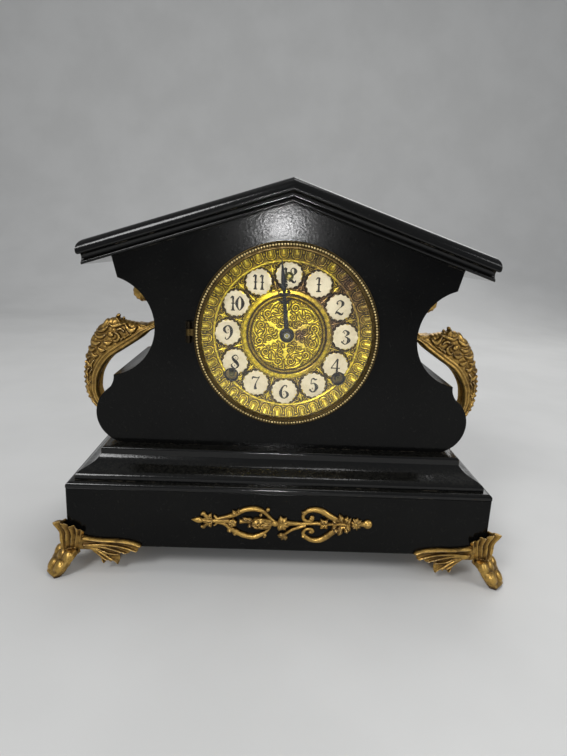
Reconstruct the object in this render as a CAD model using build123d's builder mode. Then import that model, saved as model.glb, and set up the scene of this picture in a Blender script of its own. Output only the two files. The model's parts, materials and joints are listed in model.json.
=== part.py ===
from build123d import *
import os
from math import atan2, cos, degrees, dist, radians, sin, sqrt, tan

os.makedirs("parts", exist_ok=True)

# Black mantel clock: X to the viewer's right, front towards -Y, floor at z = 0, millimetres.

# Fits
running_fit = 0.05
board_gap = 0.8
clear_gap = 0.3
edge_round = 0.8

# Plinth and base moulding
plinth_width = 300.0
plinth_depth = 150.0
plinth_clear = 19.0
plinth_height = 44.0
rail_thick = 12.0
block_side = 26.0
block_height = 30.0
moulding_width = 34.0
bead_inset = 2.6
bead_rise = 3.9
step_inset = 5.0
step_rise = 6.9
ogee_shape = [(6.0, 8.4), (8.2, 10.0), (11.6, 11.5), (15.0, 13.3), (17.8, 15.7)]
ogee_rise = 18.2
nosing_inset = 19.6
nosing_radius = 2.0
moulding_rise = 23.6
deck_thick = 12.0

# Silhouette of the case, above the deck
bulge_inset = 37.0
bulge_radius = 23.0
bulge_tuck = 0.6
bulge_end_angle = 45.0
notch_bow = 2.0
waist_inset = 56.9
waist_share = 0.4985
scoop_share = 0.374
scoop_low_angle = 260.5
scoop_high_angle = 107.0
eave_inset = 28.4
ridge_rise = 173.6
roof_pitch = 18.2

# Case boards
panel_setback = 30.0
panel_thick = 10.0
back_setback = 9.0
back_thick = 8.0
side_wall = 9.1

# Roof boards
bed_thick = 6.5
bed_eave = 17.0
bed_overhang = 13.5
bed_bead = 1.1
bead_setback = 2.4
bed_hollow = (3.2, 3.6)
slab_thick = 8.5
slab_eave = 18.4
slab_overhang = 16.0
roof_back_overhang = 4.0
nose_radius = 6.8
nose_foot_radius = 1.2

# Back door
door_width = 100.0
door_height = 82.0
door_rise = 48.0
door_hinge_radius = 2.0
door_pin_radius = 1.0
door_leaf = 11.0
door_leaf_thick = 1.2
door_knuckle = 8.0
door_hinge_spread = 56.0
knob_radius = 5.0
knob_stem = 2.5
knob_height = 9.0
knob_inset = 10.0
knob_round = 3.6

# Cast feet
foot_leaf_height = 24.8
foot_wing_length = 52.0
foot_thick = 3.5
foot_toe_length = 12.0
foot_toe_half_width = 6.5
foot_pad_side = 44.0
foot_pad_thick = 3.0
foot_pad_lap_width = 0.8
foot_screw_radius = 1.6
foot_screw_head = 3.2
foot_screw_head_thick = 1.6
foot_screw_length = 12.0

# Side handles
handle_thick = 16.0
handle_band = 5.0
handle_curl_radius = 6.5
handle_band_low = 205.0
handle_band_high = 122.0
handle_screw_radius = 1.6
handle_screw_head = 3.2
handle_screw_head_thick = 2.0
handle_screw_bite = 3.0

# Plinth ornament
ornament_thick = 3.0
ornament_rise = 23.0
ornament_bar = 2.6
ornament_spine = (-56.0, 62.0)
bud_shape = [(-62.0, 0.0), (-57.0, 2.0), (-52.0, 0.0), (-57.0, -2.0)]
ornament_pin_radius = 0.7
ornament_pin_length = 8.0

# Dial
dial_rise = 84.4
dial_hole_radius = 59.3
flange_radius = 64.0
flange_thick = 1.0
border_outer = 59.9
border_inner = 52.2
dial_recess = 3.5
sheet_thick = 0.8
dial_bore = 3.4
centre_radius = 32.2
filigree_radius = 25.6
centre_edge = 0.3
centre_lip = 0.6
centre_crown = 0.8
centre_groove = 0.3
filigree_rise = 0.7
cartouche_circle = 41.8
cartouche_radius = 8.7
cartouche_lobe_height = 0.6
lobe_count = 16
cartouche_thick = 0.4
winder_x = 38.8
winder_drop = 30.7
bush_radius = 4.8
bush_wall = 0.6
bush_ahead = 1.2
bush_behind = 2.0
regulator_rise = 41.0
regulator_hole = 2.7
dial_screw_radius = 0.9
dial_screw_length = 6.0

# Bezel
bezel_radius = 65.0
bezel_lip_radius = 59.5
bezel_rebate_radius = 61.0
bezel_height = 6.2
bezel_lip = 1.0
bezel_side = 2.6
bezel_shoulder = 1.6
bezel_shoulder_drop = 1.0
bezel_face = 3.2
bezel_chamfer = 0.6
glass_thick = 1.6
bezel_hinge_out = 3.7
bezel_hinge_ahead = 3.2
bezel_knuckle_radius = 1.8
bezel_knuckle = 5.0
bezel_pin_radius = 0.8
bezel_leaf_width = 5.0
bezel_leaf_thick = 1.0
bezel_lap = 1.2
bezel_arm_ahead = 1.2
bezel_arm_behind = 0.6

# Hands
hand_angle = 96.0
hand_thick = 0.8
hand_gap = 0.8
hour_hand_length = 33.0
hour_bar_radius = 24.8
minute_hand_length = 52.8
minute_bar_radius = 29.5
hand_hub_radius = 5.2
hand_nut_radius = 2.8
hand_nut_height = 1.4
hour_hand_width = 4.2
minute_hand_width = 3.4
hand_waist_share = 0.8
hand_tip = 0.3
hand_bar = 1.4
hand_bar_span = 2.1
hand_bar_step = 4.0
hand_small_bar = 1.0
hand_small_span = 1.5
centre_shaft = 1.2
cannon_radius = 1.8
pipe_radius = 2.8

# Movement frame
post_length = 6.0
post_radius = 4.0
post_tenon = 1.95
post_tenon_length = 6.0
plate_thick = 1.6
plate_gap = 36.4
plate_half = 66.0
plate_up = 56.0
plate_down = 58.0
plate_corner = 6.0
pillar_half = 60.0
pillar_up = 50.0
pillar_down = 52.0
pillar_radius = 3.2
pillar_tenon = 1.5
nut_radius = 3.4
nut_thick = 2.4
arbor_radius = 1.1
pivot_radius = 0.7
winder_radius = 2.5
winder_square = 3.4
ratchet_radius = 8.0
ratchet_teeth = 20
end_shake = 0.2
wheel_thick = 1.2
pinion_thick = 3.4
stud_radius = 1.0
stud_gap = 2.0
winder_round = 2.0
winder_tail = 1.0
square_recess = 1.0
ratchet_depth = 1.2
ratchet_lean = 0.1
great_hub_wall = 2.0
great_hub_thick = 1.0
centre_arbor_radius = 1.4
cannon_ahead = 4.5
cannon_gap = 0.4
regulator_radius = 1.25
regulator_collar = 2.2
regulator_collar_length = 3.0
regulator_tail = 1.0

# Trains: teeth and modules
tooth_root_share = 0.5
tooth_tip_share = 0.2
tooth_addendum = 0.8
tooth_dedendum = 1.1
window_circle_share = 0.56
window_share = 0.26
wheel_windows = 5
great_teeth = 80
great_module = 0.6
second_pinion = 12
fine_module = 0.5
second_teeth = 72
centre_pinion = 18
centre_teeth = 80
third_pinion = 7
third_teeth = 77
escape_pinion = 7
escape_teeth = 42
escape_radius = 12.5
escape_rise = 33.0
escape_depth = 1.8
escape_gullet = (0.25, 0.7)
escape_windows = 4
escape_window_circle = 6.5
escape_window = 2.75
cannon_teeth = 12
minute_teeth = 36
minute_pinion = 10
hour_teeth = 40
minute_wheel_angle = -60.0
strike_second_teeth = 60
strike_third_pinion = 10
strike_third_teeth = 60
fly_pinion = 8
fly_half = 9.0
fly_length = 12.0
fly_vane = 0.5
fly_tube_wall = 1.0
strike_third_angle = 115.0
fly_angle = 80.0

# Layers of the movement, as depths behind the back of the front plate
second_layer = 6.4
great_layer = 12.9
centre_layer = 20.4
third_layer = 30.9
strike_third_layer = 25.4
escape_layer = 9.4
spring_layer = 15.9
spring_width = 18.0
spring_band = 0.6
spring_turns = 10
spring_outer = 21.0
turn_samples = 36

# Verge, pendulum, hammer and gong
verge_rise = 49.0
pallet_half = 11.8
pallet_drop = 8.6
crutch_length = 30.0
pallet_thick = 1.4
yoke_rise = 2.0
yoke_thick = 2.0
yoke_dip = 1.0
verge_collar = 2.6
crutch_half = 0.6
crutch_thick = 1.0
crutch_gap = 1.0
fork_wall = 0.8
fork_half = 1.0
fork_reach = 1.0
cock_depth = 13.4
cock_pin_radius = 1.2
cock_half = 5.0
cock_thick = 2.0
cock_rise = 6.5
cock_drop = 3.0
cock_pin_ahead = 1.5
bob_clear = 5.4
rod_width = 1.6
eye_wall = 1.5
eye_thick = 2.0
bob_radius = 13.0
bob_thick = 8.0
hammer_x = -48.0
hammer_drop = 2.0
hammer_gap = 2.5
hammer_head_radius = 4.5
hammer_head_length = 9.0
hammer_tail = 14.0
hammer_tail_half = 1.0
hammer_tail_depth = 2.0
hammer_tail_thick = 1.0
hammer_rod_half = 0.9
hammer_arbor_tail = 1.0
gong_depth = 29.4
gong_lift = 4.0
gong_start_radius = 10.0
gong_pitch = 7.0
gong_turns = 3
gong_wire = 1.2
gong_flange_radius = 12.0
gong_flange_thick = 4.0
gong_block_width = 4.6
gong_block_low = 4.0
gong_block_high = 2.0
gong_block_ahead = 3.0

# Places that follow from the sizes above
plinth_front = -plinth_depth / 2
plinth_back = plinth_depth / 2
plinth_top = plinth_clear + plinth_height
deck_top = plinth_top + moulding_rise
case_front = plinth_front + panel_setback
case_back = plinth_back - back_setback
panel_back = case_front + panel_thick
back_front = case_back - back_thick
bulge_half = plinth_width / 2 - bulge_inset
waist_half = plinth_width / 2 - waist_inset
eave_half = plinth_width / 2 - eave_inset
side_inner = waist_half - side_wall
bulge_z = deck_top + bulge_radius - bulge_tuck
bulge_end_z = bulge_z + bulge_radius * sin(radians(bulge_end_angle))
eave_z = deck_top + ridge_rise - eave_half * tan(radians(roof_pitch))
waist_z = bulge_end_z + waist_share * (eave_z - bulge_end_z)
scoop_radius = scoop_share * (eave_z - bulge_end_z)
scoop_x = waist_half + scoop_radius
bed_end = eave_half + bed_eave
slab_length = (eave_half + slab_eave) / cos(radians(roof_pitch))
dial_z = deck_top + dial_rise
flange_front = case_front - flange_thick
dial_front = flange_front + dial_recess
dial_back = dial_front + sheet_thick
front_plate_front = panel_back + post_length
front_plate_back = front_plate_front + plate_thick
back_plate_front = front_plate_back + plate_gap
back_plate_back = back_plate_front + plate_thick
handle_y = (case_front + case_back) / 2


def keep(piece, label):
    """Names a finished piece and writes it out."""
    piece.part.label = label
    export_step(piece.part, f"parts/{label}.step")


def facing(depth):
    """The plane at depth y that faces the viewer, with X to the right and Z up."""
    return Plane.XZ.offset(-depth)


def polar(centre, radius, angle):
    """The point at a radius and an angle in degrees about a centre."""
    return centre[0] + radius * cos(radians(angle)), centre[1] + radius * sin(radians(angle))


def aim(start, end):
    """The direction from one point to another, in degrees."""
    return degrees(atan2(end[1] - start[1], end[0] - start[0]))


def meet(first, first_radius, second, second_radius, side):
    """The point at given distances from two centres, on the chosen side of their line."""
    span = dist(first, second)
    along = (first_radius**2 - second_radius**2 + span**2) / (2 * span)
    across = side * sqrt(max(first_radius**2 - along**2, 0))
    ux = (second[0] - first[0]) / span
    uz = (second[1] - first[1]) / span
    return first[0] + along * ux - across * uz, first[1] + along * uz + across * ux


def disc(at, radius, front, back, mode=Mode.ADD):
    """A round bar along Y at (x, z), from depth front to depth back."""
    with BuildSketch(facing(back)) as face:
        with Locations(at):
            Circle(radius)
    extrude(face.sketch, amount=back - front, mode=mode)


def block(x0, x1, front, back, z0, z1, mode=Mode.ADD):
    """A square-cornered block between two corners."""
    with BuildSketch(facing(back)) as face:
        with Locations(((x0 + x1) / 2, (z0 + z1) / 2)):
            Rectangle(x1 - x0, z1 - z0)
    extrude(face.sketch, amount=back - front, mode=mode)


def turned(profile, mode=Mode.ADD):
    """A ring turned about the dial's axis from (depth, radius) corners."""
    with BuildSketch(Plane.YZ) as face:
        with BuildLine():
            Polyline(*[(y, dial_z + r) for y, r in profile], close=True)
        make_face()
    revolve(face.sketch, axis=Axis((0, 0, dial_z), (0, 1, 0)), mode=mode)


def gear(at, teeth, module, towards, gap, front, thick, windows=0):
    """A toothed disc, with a tooth (or with gap, a tooth space) on the line towards another arbor."""
    radius = teeth * module / 2
    pitch = 360 / teeth
    phase = aim(at, towards) + (pitch / 2 if gap else 0)
    low = radius - tooth_dedendum * module
    high = radius + tooth_addendum * module
    corners = []
    for k in range(teeth):
        for r, share in ((low, -tooth_root_share), (high, -tooth_tip_share),
                         (high, tooth_tip_share), (low, tooth_root_share)):
            corners.append(polar(at, r, phase + (k + share / 2) * pitch))
    with BuildSketch(facing(front + thick)) as face:
        with BuildLine():
            Polyline(*corners, close=True)
        make_face()
        if windows:
            with Locations(at):
                with PolarLocations(window_circle_share * low, windows):
                    Circle(window_share * low, mode=Mode.SUBTRACT)
    extrude(face.sketch, amount=thick)


def arbor(at, front, back):
    """A wheel's arbor between the plates, with a pivot in each plate."""
    disc(at, arbor_radius, front_plate_back + end_shake, back_plate_front - end_shake)
    disc(at, pivot_radius, front, back)


def roof_under(x):
    """Height of the underside of the roof's bed boards at x."""
    return deck_top + ridge_rise - abs(x) * tan(radians(roof_pitch))


def case_outline(inner):
    """Right-hand silhouette of the case, closed on the upright line x = inner."""
    bulge = (bulge_half, bulge_z)
    scoop = (scoop_x, waist_z)
    foot = (bulge_half + sqrt(bulge_tuck * (2 * bulge_radius - bulge_tuck)), deck_top)
    bulge_end = polar(bulge, bulge_radius, bulge_end_angle)
    corner = polar(scoop, scoop_radius, scoop_low_angle)
    shoulder = polar(scoop, scoop_radius, scoop_high_angle)
    chord = dist(bulge_end, corner)
    notch = ((bulge_end[0] + corner[0]) / 2 - notch_bow * (corner[1] - bulge_end[1]) / chord,
             (bulge_end[1] + corner[1]) / 2 + notch_bow * (corner[0] - bulge_end[0]) / chord)
    eave = (eave_half, eave_z)
    Line((inner, deck_top), foot)
    ThreePointArc(foot, (bulge_half + bulge_radius, bulge_z), bulge_end)
    ThreePointArc(bulge_end, notch, corner)
    ThreePointArc(corner, (waist_half, waist_z), shoulder)
    Line(shoulder, eave)
    Line(eave, (inner, roof_under(inner)))
    Line((inner, roof_under(inner)), (inner, deck_top))


def half_turn(start, end, angle):
    """A half-turn arc between two points, bowed out at an angle in degrees."""
    middle = ((start[0] + end[0]) / 2, (start[1] + end[1]) / 2)
    ThreePointArc(start, polar(middle, dist(start, end) / 2, angle), end)


def least_gap(points, width):
    """Least clear gap between a winding's turns, from points along its middle."""
    next_turn = 3 * turn_samples // 4
    gaps = [dist(a, b) for i, a in enumerate(points) for b in points[i + next_turn:]]
    return min(gaps) - width


# Plinth frame
ornament_z = plinth_clear + ornament_rise
ornament_pins = [(-40.0, ornament_z), (12.0, ornament_z), (54.0, ornament_z)]

with BuildPart() as plinth_front_rail:
    block(-plinth_width / 2, plinth_width / 2, plinth_front, plinth_front + rail_thick,
          plinth_clear, plinth_top)
    fillet(plinth_front_rail.edges().group_by(Axis.Y)[0], radius=edge_round)
    for pin in ornament_pins:
        disc(pin, ornament_pin_radius + running_fit, plinth_front,
             plinth_front + ornament_pin_length, mode=Mode.SUBTRACT)
keep(plinth_front_rail, "plinth_front_rail")

with BuildPart() as plinth_side_rails:
    block(plinth_width / 2 - rail_thick, plinth_width / 2, plinth_front + rail_thick, plinth_back,
          plinth_clear, plinth_top)
    mirror(about=Plane.YZ)
keep(plinth_side_rails, "plinth_side_rails")

deck_half = plinth_width / 2 - moulding_width
deck_under = deck_top - deck_thick

with BuildPart() as plinth_back_rail:
    block(-plinth_width / 2 + rail_thick, plinth_width / 2 - rail_thick, plinth_back - rail_thick,
          plinth_back, plinth_clear, plinth_top)
    block(-deck_half, deck_half, plinth_back - rail_thick, plinth_back, plinth_top, deck_under)
keep(plinth_back_rail, "plinth_back_rail")

block_x = plinth_width / 2 - rail_thick - block_side / 2
block_y = plinth_depth / 2 - rail_thick - block_side / 2
block_places = [(sx * block_x, sy * block_y) for sx in (-1, 1) for sy in (-1, 1)]

with BuildPart() as corner_blocks:
    with BuildSketch(Plane.XY.offset(plinth_clear)):
        with Locations(*block_places):
            Rectangle(block_side, block_side)
    extrude(amount=block_height)
    with BuildSketch(Plane.XY.offset(plinth_clear)):
        with Locations(*block_places):
            Circle(foot_screw_radius + running_fit)
    extrude(amount=foot_screw_length, mode=Mode.SUBTRACT)
keep(corner_blocks, "corner_blocks")


# Base moulding, mitred at the front corners
def moulding_profile():
    """Outline of the moulding as (inset from the plinth's face, height)."""
    Polyline((moulding_width, deck_top), (moulding_width, plinth_top), (0, plinth_top),
             (0, plinth_top + bead_rise - bead_inset))
    RadiusArc((0, plinth_top + bead_rise - bead_inset), (bead_inset, plinth_top + bead_rise), bead_inset)
    Polyline((bead_inset, plinth_top + bead_rise), (step_inset, plinth_top + bead_rise),
             (step_inset, plinth_top + step_rise))
    Spline((step_inset, plinth_top + step_rise), *[(x, plinth_top + z) for x, z in ogee_shape],
           (nosing_inset, plinth_top + ogee_rise))
    Line((nosing_inset, plinth_top + ogee_rise), (nosing_inset, deck_top - nosing_radius))
    RadiusArc((nosing_inset, deck_top - nosing_radius), (nosing_inset + nosing_radius, deck_top),
              nosing_radius)
    Line((nosing_inset + nosing_radius, deck_top), (moulding_width, deck_top))


front_section = Plane(origin=(-plinth_width / 2, plinth_front, 0), x_dir=(0, 1, 0), z_dir=(1, 0, 0))
side_section = Plane(origin=(plinth_width / 2, plinth_back, 0), x_dir=(-1, 0, 0), z_dir=(0, 1, 0))
mitre_right = Plane(origin=(plinth_width / 2, plinth_front, 0), x_dir=(0, 0, 1), z_dir=(-1, -1, 0))
mitre_left = Plane(origin=(-plinth_width / 2, plinth_front, 0), x_dir=(0, 0, 1), z_dir=(1, -1, 0))

with BuildPart() as base_moulding_front:
    with BuildSketch(front_section):
        with BuildLine():
            moulding_profile()
        make_face()
    extrude(amount=plinth_width)
    split(bisect_by=mitre_left, keep=Keep.TOP)
    split(bisect_by=mitre_right, keep=Keep.TOP)
keep(base_moulding_front, "base_moulding_front")

with BuildPart() as base_moulding_sides:
    with BuildSketch(side_section):
        with BuildLine():
            moulding_profile()
        make_face()
    extrude(amount=-plinth_depth)
    split(bisect_by=mitre_right, keep=Keep.BOTTOM)
    mirror(about=Plane.YZ)
keep(base_moulding_sides, "base_moulding_sides")

with BuildPart() as base_deck:
    block(-deck_half, deck_half, plinth_front + moulding_width, plinth_back, deck_under, deck_top)
keep(base_deck, "base_deck")

# Case boards
post_places = [(sx * pillar_half, dial_z + rise) for sx in (-1, 1) for rise in (pillar_up, -pillar_down)]
dial_screws_at = [polar((0, dial_z), (dial_hole_radius + flange_radius) / 2, 45 + 90 * k) for k in range(4)]

with BuildPart() as front_panel:
    with BuildSketch(facing(panel_back)):
        with BuildLine():
            case_outline(0)
        make_face()
        mirror(about=Plane.YZ)
        with Locations((0, dial_z)):
            Circle(dial_hole_radius, mode=Mode.SUBTRACT)
    extrude(amount=panel_thick)
    for place in post_places:
        disc(place, post_tenon + running_fit, panel_back - post_tenon_length, panel_back,
             mode=Mode.SUBTRACT)
    for place in dial_screws_at:
        disc(place, dial_screw_radius + running_fit, case_front, case_front + dial_screw_length,
             mode=Mode.SUBTRACT)
keep(front_panel, "front_panel")

handle_screw_z = waist_z
with BuildPart() as case_side_right:
    with BuildSketch(facing(back_front)):
        with BuildLine():
            case_outline(side_inner)
        make_face()
    extrude(amount=back_front - panel_back)
    with BuildSketch(Plane.YZ.offset(side_inner)):
        with Locations((handle_y, handle_screw_z)):
            Circle(handle_screw_radius + running_fit)
    extrude(amount=waist_half - side_inner + scoop_radius / 2, mode=Mode.SUBTRACT)
keep(case_side_right, "case_side_right")

with BuildPart() as case_side_left:
    mirror(case_side_right.part, about=Plane.YZ)
keep(case_side_left, "case_side_left")

door_z = deck_top + door_rise + door_height / 2
with BuildPart() as back_panel:
    with BuildSketch(facing(case_back)):
        with BuildLine():
            case_outline(0)
        make_face()
        mirror(about=Plane.YZ)
        with Locations((0, door_z)):
            Rectangle(door_width, door_height, mode=Mode.SUBTRACT)
    extrude(amount=back_thick)
keep(back_panel, "back_panel")

# Back door and its hinges
door_axis_x = door_width / 2 - board_gap / 2
door_axis_y = case_back + door_hinge_radius + clear_gap
door_hinge_z = [door_z - door_hinge_spread / 2, door_z + door_hinge_spread / 2]


def upright(x, y, radius, z0, z1, mode=Mode.ADD):
    """A round bar standing along Z."""
    with BuildSketch(Plane.XY.offset(z0)) as face:
        with Locations((x, y)):
            Circle(radius)
    extrude(face.sketch, amount=z1 - z0, mode=mode)


with BuildPart() as back_door:
    block(-door_width / 2 + board_gap, door_width / 2 - board_gap, back_front, case_back,
          door_z - door_height / 2 + board_gap, door_z + door_height / 2 - board_gap)
    fillet(back_door.faces().sort_by(Axis.Y)[-1].edges(), radius=edge_round)
keep(back_door, "back_door")

with BuildPart() as door_hinge_case:
    for z in door_hinge_z:
        half = 1.5 * door_knuckle
        block(door_axis_x + door_hinge_radius + clear_gap, door_axis_x + door_leaf, case_back,
              case_back + door_leaf_thick, z - half, z + half)
        for z0 in (z - half, z + half - door_knuckle):
            upright(door_axis_x, door_axis_y, door_hinge_radius, z0, z0 + door_knuckle)
            block(door_axis_x, door_axis_x + 2 * door_hinge_radius, case_back + clear_gap,
                  case_back + clear_gap + door_leaf_thick, z0, z0 + door_knuckle)
        upright(door_axis_x, door_axis_y, door_pin_radius, z - half, z + half)
keep(door_hinge_case, "door_hinge_case")

with BuildPart() as door_hinge_door:
    for z in door_hinge_z:
        half = door_knuckle / 2 - clear_gap
        block(door_axis_x - door_leaf, door_axis_x - door_hinge_radius - clear_gap, case_back,
              case_back + door_leaf_thick, z - half, z + half)
        block(door_axis_x - 2 * door_hinge_radius, door_axis_x, case_back + clear_gap,
              case_back + clear_gap + door_leaf_thick, z - half, z + half)
        upright(door_axis_x, door_axis_y, door_hinge_radius, z - half, z + half)
        upright(door_axis_x, door_axis_y, door_pin_radius + running_fit, z - half, z + half,
                mode=Mode.SUBTRACT)
keep(door_hinge_door, "door_hinge_door")

knob_x = -door_width / 2 + knob_inset
with BuildPart() as back_door_knob:
    disc((knob_x, door_z), knob_stem, case_back, case_back + knob_height / 2)
    disc((knob_x, door_z), knob_radius, case_back + knob_height / 2, case_back + knob_height)
    fillet(back_door_knob.edges().group_by(Axis.Y)[-1], radius=knob_round)
keep(back_door_knob, "back_door_knob")


# Roof boards, mitred at the ridge
slope = (cos(radians(roof_pitch)), 0, -sin(radians(roof_pitch)))
bed_under = deck_top + ridge_rise
slab_under = bed_under + bed_thick / cos(radians(roof_pitch))
roof_back = case_back + roof_back_overhang
slope_axis = Axis((0, 0, slab_under), slope)
bed_front = case_front - bed_overhang
bead_back = bed_front + bead_setback

with BuildPart() as roof_beds:
    with BuildSketch(Plane(origin=(0, 0, bed_under), x_dir=(0, 1, 0), z_dir=slope)):
        with BuildLine():
            Polyline((bead_back, 0), (roof_back, 0), (roof_back, bed_thick), (bed_front, bed_thick))
            ThreePointArc((bed_front, bed_thick), (bed_front + bed_hollow[0], bed_hollow[1]),
                          (bead_back, 2 * bed_bead))
            ThreePointArc((bead_back, 2 * bed_bead), (bead_back - bed_bead, bed_bead), (bead_back, 0))
        make_face()
    extrude(amount=slab_length + bed_thick, both=True)
    split(bisect_by=Plane.YZ.offset(running_fit), keep=Keep.TOP)
    split(bisect_by=Plane.YZ.offset(bed_end), keep=Keep.BOTTOM)
    mirror(about=Plane.YZ)
keep(roof_beds, "roof_beds")

with BuildPart() as roof_board_right:
    with BuildSketch(facing(roof_back)):
        with BuildLine():
            end_x = slab_length * slope[0]
            end_z = slab_under + slab_length * slope[2]
            Polyline((0, slab_under), (end_x, end_z),
                     (end_x - slab_thick * slope[2], end_z + slab_thick * slope[0]),
                     (0, slab_under + slab_thick / slope[0]), close=True)
        make_face()
    extrude(amount=roof_back - case_front + slab_overhang)
    nose_edges = roof_board_right.edges().filter_by(slope_axis).group_by(Axis.Y)[0].sort_by(Axis.Z)
    end_edges = roof_board_right.faces().sort_by(slope_axis)[-1].edges().filter_by(Axis.Y).sort_by(Axis.Z)
    fillet([nose_edges[-1], end_edges[-1]], radius=nose_radius)
    nose_edges = roof_board_right.edges().filter_by(slope_axis).group_by(Axis.Y)[0].sort_by(Axis.Z)
    end_edges = roof_board_right.faces().sort_by(slope_axis)[-1].edges().filter_by(Axis.Y).sort_by(Axis.Z)
    fillet([nose_edges[0], end_edges[0]], radius=nose_foot_radius)
keep(roof_board_right, "roof_board_right")

with BuildPart() as roof_board_left:
    mirror(roof_board_right.part, about=Plane.YZ)
keep(roof_board_left, "roof_board_left")

# Cast feet: a leaf folded round the plinth's corner, a wing along each face and a scrolled toe
leaf_top = plinth_clear + foot_leaf_height
wing_shape = [(0.0, 1.0), (0.09, 0.98), (0.13, 0.87), (0.19, 0.79), (0.25, 0.75), (0.31, 0.63),
              (0.42, 0.61), (0.73, 0.60), (0.94, 0.57), (1.0, 0.50), (0.98, 0.41), (0.92, 0.355),
              (0.81, 0.345), (0.74, 0.30), (0.69, 0.145), (0.58, 0.19), (0.48, 0.17), (0.42, 0.25),
              (0.29, 0.33), (0.15, 0.32), (0.0, 0.2)]
toe_shape = [(-0.35, 0.33), (0.1, 0.42), (0.45, 0.38), (0.75, 0.27), (0.95, 0.13), (1.0, 0.05),
             (0.9, 0.0), (0.3, 0.0), (0.05, 0.06), (-0.2, 0.17)]
corner_x = plinth_width / 2
corner_y = plinth_front
toe_plane = Plane(origin=(corner_x, corner_y, 0), x_dir=(1, -1, 0), z_dir=(-1, -1, 0))
diagonal = Plane(origin=(corner_x, corner_y, 0), x_dir=(0, 0, 1), z_dir=(1, 1, 0))
wing_plane = Plane(origin=(corner_x, corner_y, 0), x_dir=(-1, 0, 0), z_dir=(0, 1, 0))

with BuildPart() as foot_front_right:
    with BuildSketch(wing_plane):
        with BuildLine():
            Polyline(*[(u * foot_wing_length, v * leaf_top) for u, v in wing_shape],
                     (-foot_thick, wing_shape[-1][1] * leaf_top), (-foot_thick, leaf_top), close=True)
        make_face()
    extrude(amount=-foot_thick)
    mirror(about=diagonal)
    with BuildSketch(toe_plane):
        with BuildLine():
            Polyline(*[(u * foot_toe_length, v * leaf_top) for u, v in toe_shape], close=True)
        make_face()
    extrude(amount=foot_toe_half_width, both=True)
    with BuildSketch(Plane.XY.offset(plinth_clear - foot_pad_thick)):
        with Locations((corner_x - foot_pad_side / 2, corner_y + foot_pad_side / 2)):
            Rectangle(foot_pad_side + 2 * foot_pad_lap_width, foot_pad_side + 2 * foot_pad_lap_width)
        with Locations((block_x, -block_y)):
            Circle(foot_screw_radius + running_fit, mode=Mode.SUBTRACT)
    extrude(amount=foot_pad_thick)
    block(-plinth_width / 2, plinth_width / 2, plinth_front, plinth_back, plinth_clear, deck_top,
          mode=Mode.SUBTRACT)
keep(foot_front_right, "foot_front_right")

with BuildPart() as foot_front_left:
    mirror(foot_front_right.part, about=Plane.YZ)
keep(foot_front_left, "foot_front_left")

with BuildPart() as foot_back_right:
    mirror(foot_front_right.part, about=Plane.XZ)
keep(foot_back_right, "foot_back_right")

with BuildPart() as foot_back_left:
    mirror(foot_back_right.part, about=Plane.YZ)
keep(foot_back_left, "foot_back_left")

# Cast side handles, seated in the hollow of the side and on its bulge
handle_outer = [(-3, 1), (6, 2), (12, -1), (25, -1.5), (37.7, 1), (50.8, -11), (61.5, -25), (66.9, -41),
                (67.2, -56), (62.9, -70), (53.9, -80.5), (42.9, -83.5), (33, -77)]
handle_inner = [(33, -77), (44, -76), (52, -71), (56.2, -64.5), (58.6, -51.7), (56.1, -42.7), (51.6, -35),
                (43.5, -28), (32.6, -21), (21.9, -14), (6.9, -6), (-3, 1)]


def from_waist(points):
    """Handle points are given from the case's waist."""
    return [(waist_half + x, waist_z + z) for x, z in points]


with BuildPart() as handle_right:
    with BuildSketch(facing(handle_y + handle_thick / 2)):
        with BuildLine():
            Spline(*from_waist(handle_outer))
            Spline(*from_waist(handle_inner))
        make_face()
        with BuildLine():
            scoop = (scoop_x, waist_z)
            outer = scoop_radius + handle_band
            inner = scoop_radius - handle_band
            middle = (handle_band_low + handle_band_high) / 2
            ThreePointArc(polar(scoop, outer, handle_band_low), polar(scoop, outer, middle),
                          polar(scoop, outer, handle_band_high))
            Line(polar(scoop, outer, handle_band_high), polar(scoop, inner, handle_band_high))
            ThreePointArc(polar(scoop, inner, handle_band_high), polar(scoop, inner, middle),
                          polar(scoop, inner, handle_band_low))
            Line(polar(scoop, inner, handle_band_low), polar(scoop, outer, handle_band_low))
        make_face()
        with Locations(polar(scoop, scoop_radius - handle_curl_radius, handle_band_high)):
            Circle(handle_curl_radius)
    extrude(amount=handle_thick)
    add(case_side_right.part, mode=Mode.SUBTRACT)
    with BuildSketch(Plane.YZ.offset(side_inner)):
        with Locations((handle_y, handle_screw_z)):
            Circle(handle_screw_radius + running_fit)
    extrude(amount=waist_half - side_inner + handle_screw_bite, mode=Mode.SUBTRACT)
keep(handle_right, "handle_right")

with BuildPart() as handle_left:
    mirror(handle_right.part, about=Plane.YZ)
keep(handle_left, "handle_left")

# Plinth ornament: a spine with a bud, a cage of two bars, a leaf knot, two volutes and a rosette
cage_upper = [(-43.9, 1.3), (-18.9, 9.9), (-2.7, -0.5)]
cage_lower = [(-43.9, -1.3), (-18.9, -12.0), (-2.7, 0.5)]
volute_upper = [(49.7, 0.9), (27.0, 10.3), (16.6, 3.5)]
volute_lower = [(49.7, -1.3), (27.0, -12.6), (16.6, -6.5)]
leaf_branch = [(17.3, -1.5), (8.0, -5.5), (0.5, -12.0)]
ornament_blobs = [(-50.5, 0, 4.2, 3.4), (-33.3, 0, 3.4, 3.4), (-12.4, 0, 8.0, 4.2), (2.0, 0, 4.6, 4.6),
                  (21.9, 3.1, 3.2, 2.6), (21.9, -7.0, 3.2, 2.6), (31.2, 0, 3.0, 3.0), (43.5, 0, 4.4, 6.5),
                  (54.3, 0, 4.8, 4.8), (62.7, 0, 3.2, 3.2), (1.5, -11.5, 4.0, 2.6)]

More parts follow.
